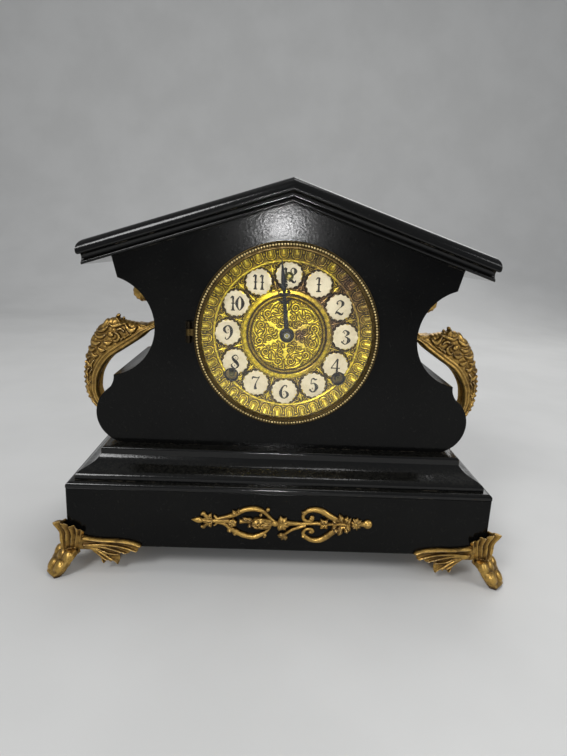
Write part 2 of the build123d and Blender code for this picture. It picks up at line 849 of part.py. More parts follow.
with BuildPart() as base_ornament:
    with BuildSketch(facing(plinth_front)):
        for path in (cage_upper, cage_lower, volute_upper, volute_lower, leaf_branch):
            with BuildLine():
                ThreePointArc(*[(x, ornament_z + z) for x, z in path])
            trace(line_width=ornament_bar)
        with BuildLine():
            Line(*[(x, ornament_z) for x in ornament_spine])
        trace(line_width=ornament_bar)
        with BuildLine():
            Polyline(*[(x, ornament_z + z) for x, z in bud_shape], close=True)
        make_face()
        for x, z, rx, rz in ornament_blobs:
            with Locations((x, ornament_z + z)):
                Ellipse(rx, rz)
    extrude(amount=ornament_thick)
    for pin in ornament_pins:
        disc(pin, ornament_pin_radius, plinth_front - ornament_thick / 2,
             plinth_front + ornament_pin_length)
keep(base_ornament, "base_ornament")

# Dial pan, centre, numeral plates, bushes and screws
dial_at = (0, dial_z)
winder_time = (winder_x, dial_z - winder_drop)
winder_strike = (-winder_x, dial_z - winder_drop)
regulator_at = (0, dial_z + regulator_rise)
hole_radius = bush_radius + running_fit


def dial_holes(front, back):
    """The winding and regulator holes through the dial."""
    for place in (winder_time, winder_strike):
        disc(place, hole_radius, front, back, mode=Mode.SUBTRACT)
    disc(regulator_at, regulator_hole, front, back, mode=Mode.SUBTRACT)


with BuildPart() as dial_pan:
    turned([(flange_front, flange_radius), (flange_front, border_outer), (dial_front, border_inner),
            (dial_front, dial_bore), (dial_back, dial_bore), (dial_back, border_inner + sheet_thick),
            (case_front, dial_hole_radius - clear_gap), (case_front, flange_radius)])
    dial_holes(flange_front, dial_back)
    for place in dial_screws_at:
        disc(place, dial_screw_radius + running_fit, flange_front, case_front, mode=Mode.SUBTRACT)
keep(dial_pan, "dial_pan")

# Screws of the feet, the handles and the dial
with BuildPart() as case_screws:
    pad_under = plinth_clear - foot_pad_thick
    with BuildSketch(Plane.XY.offset(pad_under)):
        with Locations(*block_places):
            Circle(foot_screw_radius)
    extrude(amount=foot_pad_thick + foot_screw_length)
    with BuildSketch(Plane.XY.offset(pad_under - foot_screw_head_thick)):
        with Locations(*block_places):
            Circle(foot_screw_head)
    extrude(amount=foot_screw_head_thick)
    with BuildSketch(Plane.YZ.offset(side_inner - handle_screw_head_thick)):
        with Locations((handle_y, handle_screw_z)):
            Circle(handle_screw_head)
    extrude(amount=handle_screw_head_thick)
    with BuildSketch(Plane.YZ.offset(side_inner)):
        with Locations((handle_y, handle_screw_z)):
            Circle(handle_screw_radius)
    extrude(amount=waist_half - side_inner + handle_screw_bite)
    mirror(about=Plane.YZ)
    for place in dial_screws_at:
        disc(place, dial_screw_radius, flange_front, case_front + dial_screw_length)
keep(case_screws, "case_screws")

with BuildPart() as dial_centre:
    ring = (centre_radius - filigree_radius) / 6
    turned([(dial_front, centre_radius), (dial_front - centre_lip, centre_radius - centre_edge),
            (dial_front - centre_crown, centre_radius - ring),
            (dial_front - centre_lip, centre_radius - 2.5 * ring),
            (dial_front - centre_groove, centre_radius - 3 * ring),
            (dial_front - centre_groove, filigree_radius + ring / 2),
            (dial_front - filigree_rise, filigree_radius), (dial_front - filigree_rise, dial_bore),
            (dial_front, dial_bore)])
keep(dial_centre, "dial_centre")

with BuildPart() as numeral_plates:
    for hour in range(12):
        centre = polar(dial_at, cartouche_circle, 90 - 30 * hour)
        lobe = 360 / lobe_count
        with BuildSketch(facing(dial_front)):
            with BuildLine():
                for k in range(lobe_count):
                    ThreePointArc(polar(centre, cartouche_radius, k * lobe),
                                  polar(centre, cartouche_radius + cartouche_lobe_height, (k + 0.5) * lobe),
                                  polar(centre, cartouche_radius, (k + 1) * lobe))
            make_face()
        extrude(amount=cartouche_thick)
    dial_holes(dial_front - cartouche_thick, dial_front)
keep(numeral_plates, "numeral_plates")

bush_front = dial_front - bush_ahead
bush_back = dial_back + bush_behind
with BuildPart() as winding_bushes:
    for place in (winder_time, winder_strike):
        disc(place, bush_radius, bush_front, bush_back)
        disc(place, bush_radius - bush_wall, bush_front, bush_back, mode=Mode.SUBTRACT)
keep(winding_bushes, "winding_bushes")

# Bezel with glass, on a vertical hinge at its left
bezel_back = flange_front - clear_gap
bezel_front = bezel_back - bezel_height
lip_back = bezel_front + bezel_lip
axis_x = -bezel_radius - bezel_hinge_out
axis_y = case_front - bezel_hinge_ahead
knuckle_half = bezel_knuckle / 2 - clear_gap / 2

with BuildPart() as bezel_ring:
    turned([(bezel_back, bezel_rebate_radius), (bezel_back, bezel_radius),
            (bezel_back - bezel_side, bezel_radius),
            (bezel_front + bezel_shoulder_drop, bezel_radius - bezel_shoulder),
            (bezel_front, bezel_radius - bezel_face), (bezel_front, bezel_lip_radius + bezel_chamfer),
            (bezel_front + bezel_chamfer, bezel_lip_radius), (lip_back, bezel_lip_radius),
            (lip_back, bezel_rebate_radius)])
    block(axis_x, -bezel_radius + bezel_lap, axis_y - bezel_arm_ahead, axis_y + bezel_arm_behind,
          dial_z - knuckle_half, dial_z + knuckle_half)
    upright(axis_x, axis_y, bezel_knuckle_radius, dial_z - knuckle_half, dial_z + knuckle_half)
    upright(axis_x, axis_y, bezel_pin_radius + running_fit, dial_z - knuckle_half, dial_z + knuckle_half,
            mode=Mode.SUBTRACT)
keep(bezel_ring, "bezel_ring")

glass_back = lip_back + glass_thick
with BuildPart() as bezel_glass:
    disc(dial_at, bezel_rebate_radius - running_fit, lip_back, glass_back)
keep(bezel_glass, "bezel_glass")

with BuildPart() as bezel_hinge:
    leaf_half = 1.5 * bezel_knuckle
    block(axis_x - bezel_leaf_width / 2, -bezel_radius + bezel_lap, case_front - bezel_leaf_thick,
          case_front, dial_z - leaf_half, dial_z + leaf_half)
    for z0 in (dial_z - leaf_half, dial_z + leaf_half - bezel_knuckle):
        upright(axis_x, axis_y, bezel_knuckle_radius, z0, z0 + bezel_knuckle)
        block(axis_x - bezel_pin_radius, axis_x + bezel_pin_radius, axis_y, case_front, z0,
              z0 + bezel_knuckle)
    upright(axis_x, axis_y, bezel_pin_radius, dial_z - leaf_half, dial_z + leaf_half)
    disc(dial_at, flange_radius + clear_gap, case_front - bezel_leaf_thick, case_front, mode=Mode.SUBTRACT)
keep(bezel_hinge, "bezel_hinge")

# Hands, both just short of twelve
hour_hand_back = dial_front - filigree_rise - hand_gap
minute_hand_back = hour_hand_back - hand_thick - hand_gap


def hand(bore, length, bar_radius, width, front, back):
    """A hand with a round hub, a tapering blade and a pair of cross-bars."""
    with BuildSketch(facing(back)) as face:
        with Locations(dial_at):
            Circle(hand_hub_radius)
        with BuildLine():
            turn = radians(hand_angle)
            waist = hand_waist_share * width
            edge = [(0, -width), (bar_radius, -waist), (length, -hand_tip), (length, hand_tip),
                    (bar_radius, waist), (0, width)]
            Polyline(*[(r * cos(turn) - w / 2 * sin(turn), dial_z + r * sin(turn) + w / 2 * cos(turn))
                       for r, w in edge], close=True)
        make_face()
        with Locations(Location((*polar(dial_at, bar_radius, hand_angle), 0), (0, 0, hand_angle))):
            Rectangle(hand_bar, hand_bar_span * width)
        small_bar = polar(dial_at, bar_radius - hand_bar_step, hand_angle)
        with Locations(Location((*small_bar, 0), (0, 0, hand_angle))):
            Rectangle(hand_small_bar, hand_small_span * width)
        with Locations(dial_at):
            Circle(bore, mode=Mode.SUBTRACT)
    extrude(face.sketch, amount=back - front)


with BuildPart() as hour_hand:
    hand(pipe_radius, hour_hand_length, hour_bar_radius, hour_hand_width, hour_hand_back - hand_thick,
         hour_hand_back)
keep(hour_hand, "hour_hand")

with BuildPart() as minute_hand:
    hand(cannon_radius, minute_hand_length, minute_bar_radius, minute_hand_width,
         minute_hand_back - hand_thick, minute_hand_back)
keep(minute_hand, "minute_hand")

shaft_front = minute_hand_back - hand_thick - hand_nut_height
with BuildPart() as hand_nut:
    disc(dial_at, hand_nut_radius, shaft_front, minute_hand_back - hand_thick)
    disc(dial_at, cannon_radius, shaft_front, minute_hand_back - hand_thick, mode=Mode.SUBTRACT)
    fillet(hand_nut.edges().group_by(Axis.Y)[0].sort_by(Axis.Z)[-1], radius=hand_nut_height / 3)
keep(hand_nut, "hand_nut")

# Places of the arbors
centre_at = dial_at
great_reach = (great_teeth + second_pinion) * great_module / 2
second_reach = (second_teeth + centre_pinion) * fine_module / 2
third_reach = (centre_teeth + third_pinion) * fine_module / 2
escape_reach = (third_teeth + escape_pinion) * fine_module / 2
second_at = meet(centre_at, second_reach, winder_time, great_reach, 1)
escape_at = (0, dial_z + escape_rise)
third_at = meet(centre_at, third_reach, escape_at, escape_reach, -1)
strike_second_at = (-second_at[0], second_at[1])
strike_third_reach = (strike_second_teeth + strike_third_pinion) * fine_module / 2
strike_third_at = polar(strike_second_at, strike_third_reach, strike_third_angle)
fly_reach = (strike_third_teeth + fly_pinion) * fine_module / 2
fly_at = polar(strike_third_at, fly_reach, fly_angle)
minute_reach = (cannon_teeth + minute_teeth) * fine_module / 2
minute_at = polar(centre_at, minute_reach, minute_wheel_angle)
hour_module = 2 * minute_reach / (minute_pinion + hour_teeth)
verge_at = (0, dial_z + verge_rise)
hammer_at = (hammer_x, dial_z - hammer_drop)
train_at = [second_at, third_at, escape_at, strike_second_at, strike_third_at, fly_at]

# Movement frame: mounting posts, plates, pillars and nuts
def movement_plate(front, back):
    """A movement plate with the holes that both plates share."""
    with BuildSketch(facing(back)) as face:
        with Locations((0, dial_z + (plate_up - plate_down) / 2)):
            RectangleRounded(2 * plate_half, plate_up + plate_down, plate_corner)
        with Locations(*train_at, verge_at, hammer_at):
            Circle(pivot_radius + running_fit, mode=Mode.SUBTRACT)
        with Locations(winder_time, winder_strike):
            Circle(winder_radius + running_fit, mode=Mode.SUBTRACT)
        with Locations(*post_places):
            Circle(pillar_tenon + running_fit, mode=Mode.SUBTRACT)
    extrude(face.sketch, amount=back - front)


with BuildPart() as movement_front_plate:
    movement_plate(front_plate_front, front_plate_back)
    disc(centre_at, centre_shaft + running_fit, front_plate_front, front_plate_back, mode=Mode.SUBTRACT)
    disc(regulator_at, pivot_radius + running_fit, front_plate_front, front_plate_back, mode=Mode.SUBTRACT)
    disc(minute_at, stud_radius, dial_back + stud_gap, front_plate_front)
    for place in post_places:
        disc(place, post_radius, panel_back, front_plate_front)
        disc(place, post_tenon, panel_back - post_tenon_length, panel_back)
        disc(place, pillar_tenon + running_fit, panel_back + running_fit, front_plate_back,
             mode=Mode.SUBTRACT)
keep(movement_front_plate, "movement_front_plate")

cock_back = back_plate_back + cock_depth
cock_top = verge_at[1] + cock_rise
rod_y = back_plate_back + cock_depth / 2
with BuildPart() as movement_back_plate:
    movement_plate(back_plate_front, back_plate_back)
    disc(centre_at, pivot_radius + running_fit, back_plate_front, back_plate_back, mode=Mode.SUBTRACT)
    disc(verge_at, arbor_radius + clear_gap, back_plate_front, back_plate_back, mode=Mode.SUBTRACT)
    disc(hammer_at, arbor_radius + running_fit, back_plate_front, back_plate_back, mode=Mode.SUBTRACT)
    block(-cock_half, cock_half, back_plate_back, cock_back, cock_top - cock_thick, cock_top)
    block(-cock_half, cock_half, cock_back - cock_thick, cock_back, verge_at[1] - cock_drop, cock_top)
    disc(verge_at, cock_pin_radius, rod_y - cock_pin_ahead, cock_back)
keep(movement_back_plate, "movement_back_plate")

with BuildPart() as plate_pillars:
    for place in post_places:
        disc(place, pillar_radius, front_plate_back, back_plate_front)
        disc(place, pillar_tenon, panel_back + 2 * running_fit, front_plate_back)
        disc(place, pillar_tenon, back_plate_front, back_plate_back)
    with BuildSketch(facing(back_plate_back + nut_thick)):
        with Locations(*post_places):
            RegularPolygon(nut_radius, 6)
    extrude(amount=nut_thick)
keep(plate_pillars, "plate_pillars")

# Winding arbors, great wheels and mainsprings
great_front = front_plate_back + great_layer
square_front = dial_front + square_recess
square_back = front_plate_front - winder_round


def winding_arbor(at):
    """A winding arbor with its ratchet, ending in a square behind the dial."""
    disc(at, winder_radius, square_back, back_plate_back + winder_tail)
    with BuildSketch(facing(square_back)) as face:
        with Locations(at):
            Rectangle(winder_square, winder_square)
    extrude(face.sketch, amount=square_back - square_front)
    corners = []
    for k in range(ratchet_teeth):
        step = 360 / ratchet_teeth
        corners.append(polar(at, ratchet_radius, k * step))
        corners.append(polar(at, ratchet_radius - ratchet_depth, (k + ratchet_lean) * step))
    with BuildSketch(facing(great_front - clear_gap)) as face:
        with BuildLine():
            Polyline(*corners, close=True)
        make_face()
    extrude(face.sketch, amount=wheel_thick)


def great_wheel(at, pinion_at):
    """A great wheel that runs loose on its winding arbor."""
    gear(at, great_teeth, great_module, pinion_at, False, great_front, wheel_thick)
    hub_back = great_front + wheel_thick + great_hub_thick
    disc(at, winder_radius + great_hub_wall, great_front + wheel_thick, hub_back)
    disc(at, winder_radius + running_fit, great_front, hub_back, mode=Mode.SUBTRACT)


def mainspring(at, side):
    """A flat spiral of half-turn arcs, with its outer end drawn out to the pillar beside it."""
    post = (side * pillar_half, dial_z - pillar_down)
    start = aim(at, post)
    first = winder_radius + clear_gap
    halves = 2 * spring_turns
    radii = [first + (spring_outer - first) * k / (halves - 1) for k in range(halves)]
    radii.append(dist(at, post) - pillar_radius - spring_band)
    inner = [polar(at, r, start + 180 * k) for k, r in enumerate(radii)]
    outer = [polar(at, r + spring_band, start + 180 * k) for k, r in enumerate(radii)]
    front = front_plate_back + spring_layer
    with BuildSketch(facing(front + spring_width)) as face:
        with BuildLine():
            for line in (inner, outer):
                for k in range(halves):
                    half_turn(line[k], line[k + 1], start + 180 * k + 90)
            Line(inner[0], outer[0])
            Line(inner[-1], outer[-1])
        make_face()
    extrude(face.sketch, amount=spring_width)
    steps = turn_samples * spring_turns
    samples = [polar(at, first + (spring_outer - first) * t / steps, 360 * t / turn_samples)
               for t in range(steps)]
    print("mainspring least gap", round(least_gap(samples, spring_band), 2))


with BuildPart() as time_winding_arbor:
    winding_arbor(winder_time)
keep(time_winding_arbor, "time_winding_arbor")

with BuildPart() as strike_winding_arbor:
    winding_arbor(winder_strike)
keep(strike_winding_arbor, "strike_winding_arbor")

with BuildPart() as time_great_wheel:
    great_wheel(winder_time, second_at)
keep(time_great_wheel, "time_great_wheel")

with BuildPart() as strike_great_wheel:
    great_wheel(winder_strike, strike_second_at)
keep(strike_great_wheel, "strike_great_wheel")

with BuildPart() as mainsprings:
    mainspring(winder_time, 1)
    mainspring(winder_strike, -1)
keep(mainsprings, "mainsprings")

# Time train
second_front = front_plate_back + second_layer
centre_front = front_plate_back + centre_layer
third_front = front_plate_back + third_layer
escape_front = front_plate_back + escape_layer
wide = (pinion_thick - wheel_thick) / 2


def pinion(at, teeth, module, towards, wheel_front):
    """A pinion as wide as it needs to carry the wheel that drives it."""
    gear(at, teeth, module, towards, True, wheel_front - wide, pinion_thick)


with BuildPart() as time_second_wheel:
    arbor(second_at, front_plate_front, back_plate_back)
    pinion(second_at, second_pinion, great_module, winder_time, great_front)
    gear(second_at, second_teeth, fine_module, centre_at, False, second_front, wheel_thick,
         windows=wheel_windows)
keep(time_second_wheel, "time_second_wheel")

with BuildPart() as centre_arbor:
    disc(centre_at, centre_shaft, shaft_front, front_plate_back)
    disc(centre_at, centre_arbor_radius, front_plate_back + end_shake, back_plate_front - end_shake)
    disc(centre_at, pivot_radius, back_plate_front - end_shake, back_plate_back)
    pinion(centre_at, centre_pinion, fine_module, second_at, second_front)
    gear(centre_at, centre_teeth, fine_module, third_at, False, centre_front, wheel_thick,
         windows=wheel_windows)
keep(centre_arbor, "centre_arbor")

cannon_front = front_plate_front - cannon_ahead
with BuildPart() as cannon_pinion:
    disc(centre_at, cannon_radius, shaft_front, front_plate_front - cannon_gap)
    gear(centre_at, cannon_teeth, fine_module, minute_at, False, cannon_front, pinion_thick)
    disc(centre_at, centre_shaft + running_fit, shaft_front, front_plate_front - cannon_gap,
         mode=Mode.SUBTRACT)
keep(cannon_pinion, "cannon_pinion")

with BuildPart() as time_third_wheel:
    arbor(third_at, front_plate_front, back_plate_back)
    pinion(third_at, third_pinion, fine_module, centre_at, centre_front)
    gear(third_at, third_teeth, fine_module, escape_at, False, third_front, wheel_thick,
         windows=wheel_windows)
keep(time_third_wheel, "time_third_wheel")

with BuildPart() as escape_wheel:
    arbor(escape_at, front_plate_front, back_plate_back)
    pinion(escape_at, escape_pinion, fine_module, third_at, third_front)
    tooth = 360 / escape_teeth
    saw = []
    for k in range(escape_teeth):
        saw.append(polar(escape_at, escape_radius, k * tooth))
        for share in escape_gullet:
            saw.append(polar(escape_at, escape_radius - escape_depth, (k + share) * tooth))
    with BuildSketch(facing(escape_front + wheel_thick)):
        with BuildLine():
            Polyline(*saw, close=True)
        make_face()
        with Locations(escape_at):
            with PolarLocations(escape_window_circle, escape_windows):
                Circle(escape_window, mode=Mode.SUBTRACT)
    extrude(amount=wheel_thick)
keep(escape_wheel, "escape_wheel")

# Motion work in front of the front plate
with BuildPart() as minute_wheel:
    minute_front = cannon_front + wide
    hour_front = cannon_front - pinion_thick
    gear(minute_at, minute_teeth, fine_module, centre_at, True, minute_front, wheel_thick)
    gear(minute_at, minute_pinion, hour_module, centre_at, False, hour_front - wide,
         minute_front - hour_front + wide)
    disc(minute_at, stud_radius + running_fit, hour_front - wide, minute_front + wheel_thick,
         mode=Mode.SUBTRACT)
keep(minute_wheel, "minute_wheel")

with BuildPart() as hour_wheel:
    gear(centre_at, hour_teeth, hour_module, minute_at, True, hour_front, wheel_thick)
    disc(centre_at, pipe_radius, hour_hand_back - hand_thick, hour_front + wheel_thick)
    disc(centre_at, cannon_radius + running_fit, hour_hand_back - hand_thick, hour_front + wheel_thick,
         mode=Mode.SUBTRACT)
keep(hour_wheel, "hour_wheel")

with BuildPart() as regulator_arbor:
    disc(regulator_at, regulator_radius, square_front, front_plate_front - end_shake)
    disc(regulator_at, regulator_collar, front_plate_front - regulator_collar_length,
         front_plate_front - end_shake)
    disc(regulator_at, pivot_radius, front_plate_front - end_shake, front_plate_back + regulator_tail)
keep(regulator_arbor, "regulator_arbor")

# Verge with its pallets and crutch, the pendulum cock and the pendulum
crutch_front = back_plate_back + crutch_gap
crutch_back = crutch_front + crutch_thick
fork_z = verge_at[1] - crutch_length
fork_half_width = rod_width / 2 + clear_gap + fork_wall
with BuildPart() as verge:
    disc(verge_at, pivot_radius, front_plate_front, front_plate_back + end_shake)
    disc(verge_at, arbor_radius, front_plate_back + end_shake, crutch_back)
    pallet_back = escape_front + 1.5 * wheel_thick
    pallet_outer = pallet_half + pallet_thick
    yoke = [(0, yoke_rise), (pallet_half, -yoke_dip), (pallet_half, -pallet_drop),
            (pallet_outer, -pallet_drop), (pallet_outer, yoke_thick - yoke_dip),
            (0, yoke_rise + yoke_thick), (-pallet_outer, yoke_thick - yoke_dip),
            (-pallet_outer, -pallet_drop), (-pallet_half, -pallet_drop), (-pallet_half, -yoke_dip)]
    with BuildSketch(facing(pallet_back)):
        with BuildLine():
            Polyline(*[(x, verge_at[1] + z) for x, z in yoke], close=True)
        make_face()
    extrude(amount=2 * wheel_thick)
    disc(verge_at, verge_collar, pallet_back - 2 * wheel_thick, pallet_back)
    block(-crutch_half, crutch_half, crutch_front, crutch_back, fork_z, verge_at[1])
    block(-fork_half_width, fork_half_width, crutch_front, rod_y + fork_reach, fork_z - fork_half,
          fork_z + fork_half)
    block(-rod_width / 2 - clear_gap, rod_width / 2 + clear_gap, crutch_back, rod_y + fork_reach,
          fork_z - fork_half, fork_z + fork_half, mode=Mode.SUBTRACT)
keep(verge, "verge")

bob_z = deck_top + bob_clear + bob_radius
with BuildPart() as pendulum:
    disc((0, bob_z), bob_radius, rod_y - bob_thick / 2, rod_y + bob_thick / 2)
    fillet(pendulum.edges().filter_by(GeomType.CIRCLE), radius=bob_thick / 3)
    block(-rod_width / 2, rod_width / 2, rod_y - rod_width / 2, rod_y + rod_width / 2, bob_z, verge_at[1])
    disc(verge_at, cock_pin_radius + eye_wall, rod_y - eye_thick / 2, rod_y + eye_thick / 2)
    disc(verge_at, cock_pin_radius + running_fit, rod_y - eye_thick / 2, rod_y + eye_thick / 2,
         mode=Mode.SUBTRACT)
keep(pendulum, "pendulum")

# Strike train
strike_third_front = front_plate_back + strike_third_layer
with BuildPart() as strike_second_wheel:
    arbor(strike_second_at, front_plate_front, back_plate_back)
    pinion(strike_second_at, second_pinion, great_module, winder_strike, great_front)
    gear(strike_second_at, strike_second_teeth, fine_module, strike_third_at, False, second_front,
         wheel_thick, windows=wheel_windows)
keep(strike_second_wheel, "strike_second_wheel")

with BuildPart() as strike_third_wheel:
    arbor(strike_third_at, front_plate_front, back_plate_back)
    pinion(strike_third_at, strike_third_pinion, fine_module, strike_second_at, second_front)
    gear(strike_third_at, strike_third_teeth, fine_module, fly_at, False, strike_third_front,
         wheel_thick, windows=wheel_windows)
keep(strike_third_wheel, "strike_third_wheel")

with BuildPart() as strike_fly:
    arbor(fly_at, front_plate_front, back_plate_back)
    pinion(fly_at, fly_pinion, fine_module, strike_third_at, strike_third_front)
    block(fly_at[0] - fly_half, fly_at[0] + fly_half, escape_front, escape_front + fly_length,
          fly_at[1] - fly_vane, fly_at[1] + fly_vane)
    disc(fly_at, arbor_radius + fly_tube_wall, escape_front, escape_front + fly_length)
keep(strike_fly, "strike_fly")

gong_y = back_plate_back + gong_depth
gong_low = gong_start_radius + gong_pitch * (gong_turns - 0.5) + gong_wire
gong_left = gong_start_radius + gong_pitch * (gong_turns - 0.75) + gong_wire
gong_at = (hammer_at[0] + hammer_head_length / 2 + hammer_gap + gong_left, deck_top + gong_lift + gong_low)
with BuildPart() as hammer:
    disc(hammer_at, pivot_radius, front_plate_front, front_plate_back + end_shake)
    disc(hammer_at, arbor_radius, front_plate_back + end_shake, gong_y + hammer_arbor_tail)
    tail_front = front_plate_back + hammer_tail_depth
    block(hammer_at[0], hammer_at[0] + hammer_tail, tail_front, tail_front + hammer_tail_thick,
          hammer_at[1] - hammer_tail_half, hammer_at[1] + hammer_tail_half)
    block(hammer_at[0] - hammer_rod_half, hammer_at[0] + hammer_rod_half, gong_y - hammer_rod_half,
          gong_y + hammer_rod_half, gong_at[1], hammer_at[1])
    with BuildSketch(Plane.YZ.offset(hammer_at[0] - hammer_head_length / 2)):
        with Locations((gong_y, gong_at[1])):
            Circle(hammer_head_radius)
    extrude(amount=hammer_head_length)
keep(hammer, "hammer")

# Coil gong on its base, behind the pendulum
gong_halves = 2 * gong_turns
gong_knots = [polar(gong_at, gong_start_radius + gong_pitch * k / 2, 90 + 180 * k)
              for k in range(gong_halves + 1)]
gong_end = (gong_knots[0][0] + 2 * gong_wire, gong_knots[0][1])
with BuildPart() as gong_coil:
    with BuildLine(facing(gong_y)):
        Line(gong_end, gong_knots[0])
        for k in range(gong_halves):
            half_turn(gong_knots[k], gong_knots[k + 1], 180 + 180 * k)
    with BuildSketch(Plane(origin=(gong_end[0], gong_y, gong_end[1]), z_dir=(-1, 0, 0))):
        Circle(gong_wire)
    sweep()
keep(gong_coil, "gong_coil")
gong_samples = [polar(gong_at, gong_start_radius + gong_pitch * t / turn_samples, 360 * t / turn_samples)
                for t in range(turn_samples * gong_turns)]
print("gong least gap", round(least_gap(gong_samples, 2 * gong_wire), 2))

with BuildPart() as gong_base:
    disc(gong_at, gong_flange_radius, back_front - gong_flange_thick, back_front)
    block(gong_end[0], gong_end[0] + gong_block_width, gong_y - gong_block_ahead, back_front,
          gong_end[1] - gong_block_low, gong_end[1] + gong_block_high)
keep(gong_base, "gong_base")
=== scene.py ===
"""Looks of a black enamelled mantel clock with gilt castings and a stamped brass dial."""

import json
from math import cos, pi, radians, sin, sqrt, tau

import bpy
import numpy as np
from mathutils import Matrix, Vector


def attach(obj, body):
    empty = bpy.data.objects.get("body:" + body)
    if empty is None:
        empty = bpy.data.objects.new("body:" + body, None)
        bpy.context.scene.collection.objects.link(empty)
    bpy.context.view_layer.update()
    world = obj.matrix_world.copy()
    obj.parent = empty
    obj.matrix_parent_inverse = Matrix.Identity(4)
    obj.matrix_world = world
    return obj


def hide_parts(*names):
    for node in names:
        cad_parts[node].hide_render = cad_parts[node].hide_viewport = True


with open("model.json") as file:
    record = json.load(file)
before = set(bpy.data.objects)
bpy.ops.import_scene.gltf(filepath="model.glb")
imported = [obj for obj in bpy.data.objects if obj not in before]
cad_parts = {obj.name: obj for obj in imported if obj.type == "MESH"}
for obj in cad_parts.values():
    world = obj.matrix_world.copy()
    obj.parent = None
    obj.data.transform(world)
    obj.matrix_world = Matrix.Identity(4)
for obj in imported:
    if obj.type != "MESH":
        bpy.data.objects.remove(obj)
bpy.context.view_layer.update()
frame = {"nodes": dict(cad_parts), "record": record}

MM = 0.001
OUT = (0.0, -1.0, 0.0)
RNG = np.random.default_rng(7)


# Mesh helpers. Points are in millimetres in the clock's own frame. A skin is a pair of points and faces.

def unit(v):
    """Vectors of length one."""
    v = np.asarray(v, float)
    return v / np.maximum(np.linalg.norm(v, axis=-1, keepdims=True), 1e-9)


def curve(points, count):
    """Points spread on a smooth line through the given ones."""
    p = np.asarray(points, float)
    if p.ndim == 1:
        p = p[:, None]
    if len(p) == 1:
        return np.repeat(p, count, axis=0)
    p = np.vstack([2 * p[0] - p[1], p, 2 * p[-1] - p[-2]])
    t = np.linspace(0, len(p) - 3, count)
    i = np.minimum(t.astype(int), len(p) - 4)
    f = (t - i)[:, None]
    a, b, c, d = p[i], p[i + 1], p[i + 2], p[i + 3]
    return 0.5 * (2 * b + (c - a) * f + (2 * a - 5 * b + 4 * c - d) * f**2
                  + (3 * b - a - 3 * c + d) * f**3)


def smooth(x, low, high):
    """A soft step from nought at low to one at high."""
    t = np.clip((x - low) / (high - low), 0, 1)
    return t * t * (3 - 2 * t)


def bell(x, middle, width):
    """A soft hump of height one."""
    return np.exp(-((x - middle) / width) ** 2)


def dome(x):
    """A rounded rise from nought at nought to one at one."""
    return np.sqrt(np.clip(x, 0, 1))


def turns(count):
    """Angles evenly spread round a circle."""
    return np.arange(count) * tau / count


def grid(*axes):
    """Points from one array for each axis."""
    return np.stack(np.broadcast_arrays(*axes), -1)


def quads(rows, columns, wrap_rows=False, wrap_columns=False):
    """Faces of a grid of points."""
    i, j = np.meshgrid(np.arange(rows if wrap_rows else rows - 1),
                       np.arange(columns if wrap_columns else columns - 1), indexing="ij")
    i, i2, j2 = i * columns, (i + 1) % rows * columns, (j + 1) % columns
    return np.stack([i + j, i2 + j, i2 + j2, i + j2], -1).reshape(-1, 4)


def outward(points, faces):
    """Faces turned so that the closed skin faces outwards."""
    a, b, c, d = (points[faces[:, k]] for k in range(4))
    volume = (a * np.cross(b, c)).sum() + (a * np.cross(c, d)).sum()
    return faces if volume > 0 else faces[:, ::-1]


def tube(rings):
    """A closed skin over rings of points, capped at both ends."""
    rows, columns = rings.shape[:2]
    j = np.arange(columns // 2 - 1)
    cap = np.stack([j, j + 1, columns - 2 - j, columns - 1 - j], -1)
    points = rings.reshape(-1, 3)
    last = (rows - 1) * columns
    faces = np.concatenate([quads(rows, columns, wrap_columns=True), cap, cap[:, ::-1] + last])
    return points, outward(points, faces)


def shell(top, bottom):
    """A closed skin between two grids of points."""
    return tube(np.concatenate([top, bottom[:, ::-1]], axis=1))


def slab(front, back, faces):
    """A closed sheet: the front's faces, the back's, and a wall round every free edge."""
    points = np.vstack([front.reshape(-1, 3), back.reshape(-1, 3)])
    count = len(points) // 2
    edges = np.concatenate([faces[:, [k, (k + 1) % 4]] for k in range(4)])
    _, first, uses = np.unique(np.sort(edges, 1), axis=0, return_index=True, return_counts=True)
    free = edges[first[uses == 1]]
    walls = np.stack([free[:, 1], free[:, 0], free[:, 0] + count, free[:, 1] + count], -1)
    faces = np.concatenate([faces, faces[:, ::-1] + count, walls])
    return points, outward(points, faces)


def blade(path, widths, up, crown, thick=None, embed=0.6, lobes=0, lobe_depth=0.0, flutes=0,
          flute_depth=0.0, rows=44, columns=21):
    """A leaf, bar or pod along a path: half-widths along it, a crowned section, lobed edges, flutes."""
    line = curve(path, rows)
    along = unit(np.gradient(line, axis=0))
    lift = unit(curve(np.atleast_2d(up), rows))
    across = unit(np.cross(along, lift))
    lift = np.cross(across, along)
    s = np.linspace(0, 1, rows)[:, None]
    t = np.linspace(-1, 1, columns)[None, :]
    half = np.maximum(curve(widths, rows), 0.02)
    share = half / half.max()
    if lobes:
        half = half * (1 - lobe_depth * (1 - np.abs(np.sin(pi * lobes * s)) ** 0.7))
    rise = crown * share**0.7 * np.sqrt(np.maximum(1 - t**2, 0))
    if flutes:
        rise = rise + flute_depth * share * np.cos(pi * flutes * t) * (1 - t**6)
    level = rise - thick if thick else np.minimum(rise, 0) - embed
    base = line[:, None] + across[:, None] * (t * half)[..., None]
    return shell(base + lift[:, None] * rise[..., None], base + lift[:, None] * level[..., None])


def pod(centre, long_axis, half_length, half_width, up, crown, **more):
    """A rounded seed shape."""
    u = np.linspace(-1, 1, 9)[:, None]
    path = np.asarray(centre, float) + u * half_length * unit(long_axis)
    widths = half_width * np.sqrt(np.maximum(1 - u[:, 0] ** 2, 0.002))
    return blade(path, widths, up, crown, **more)


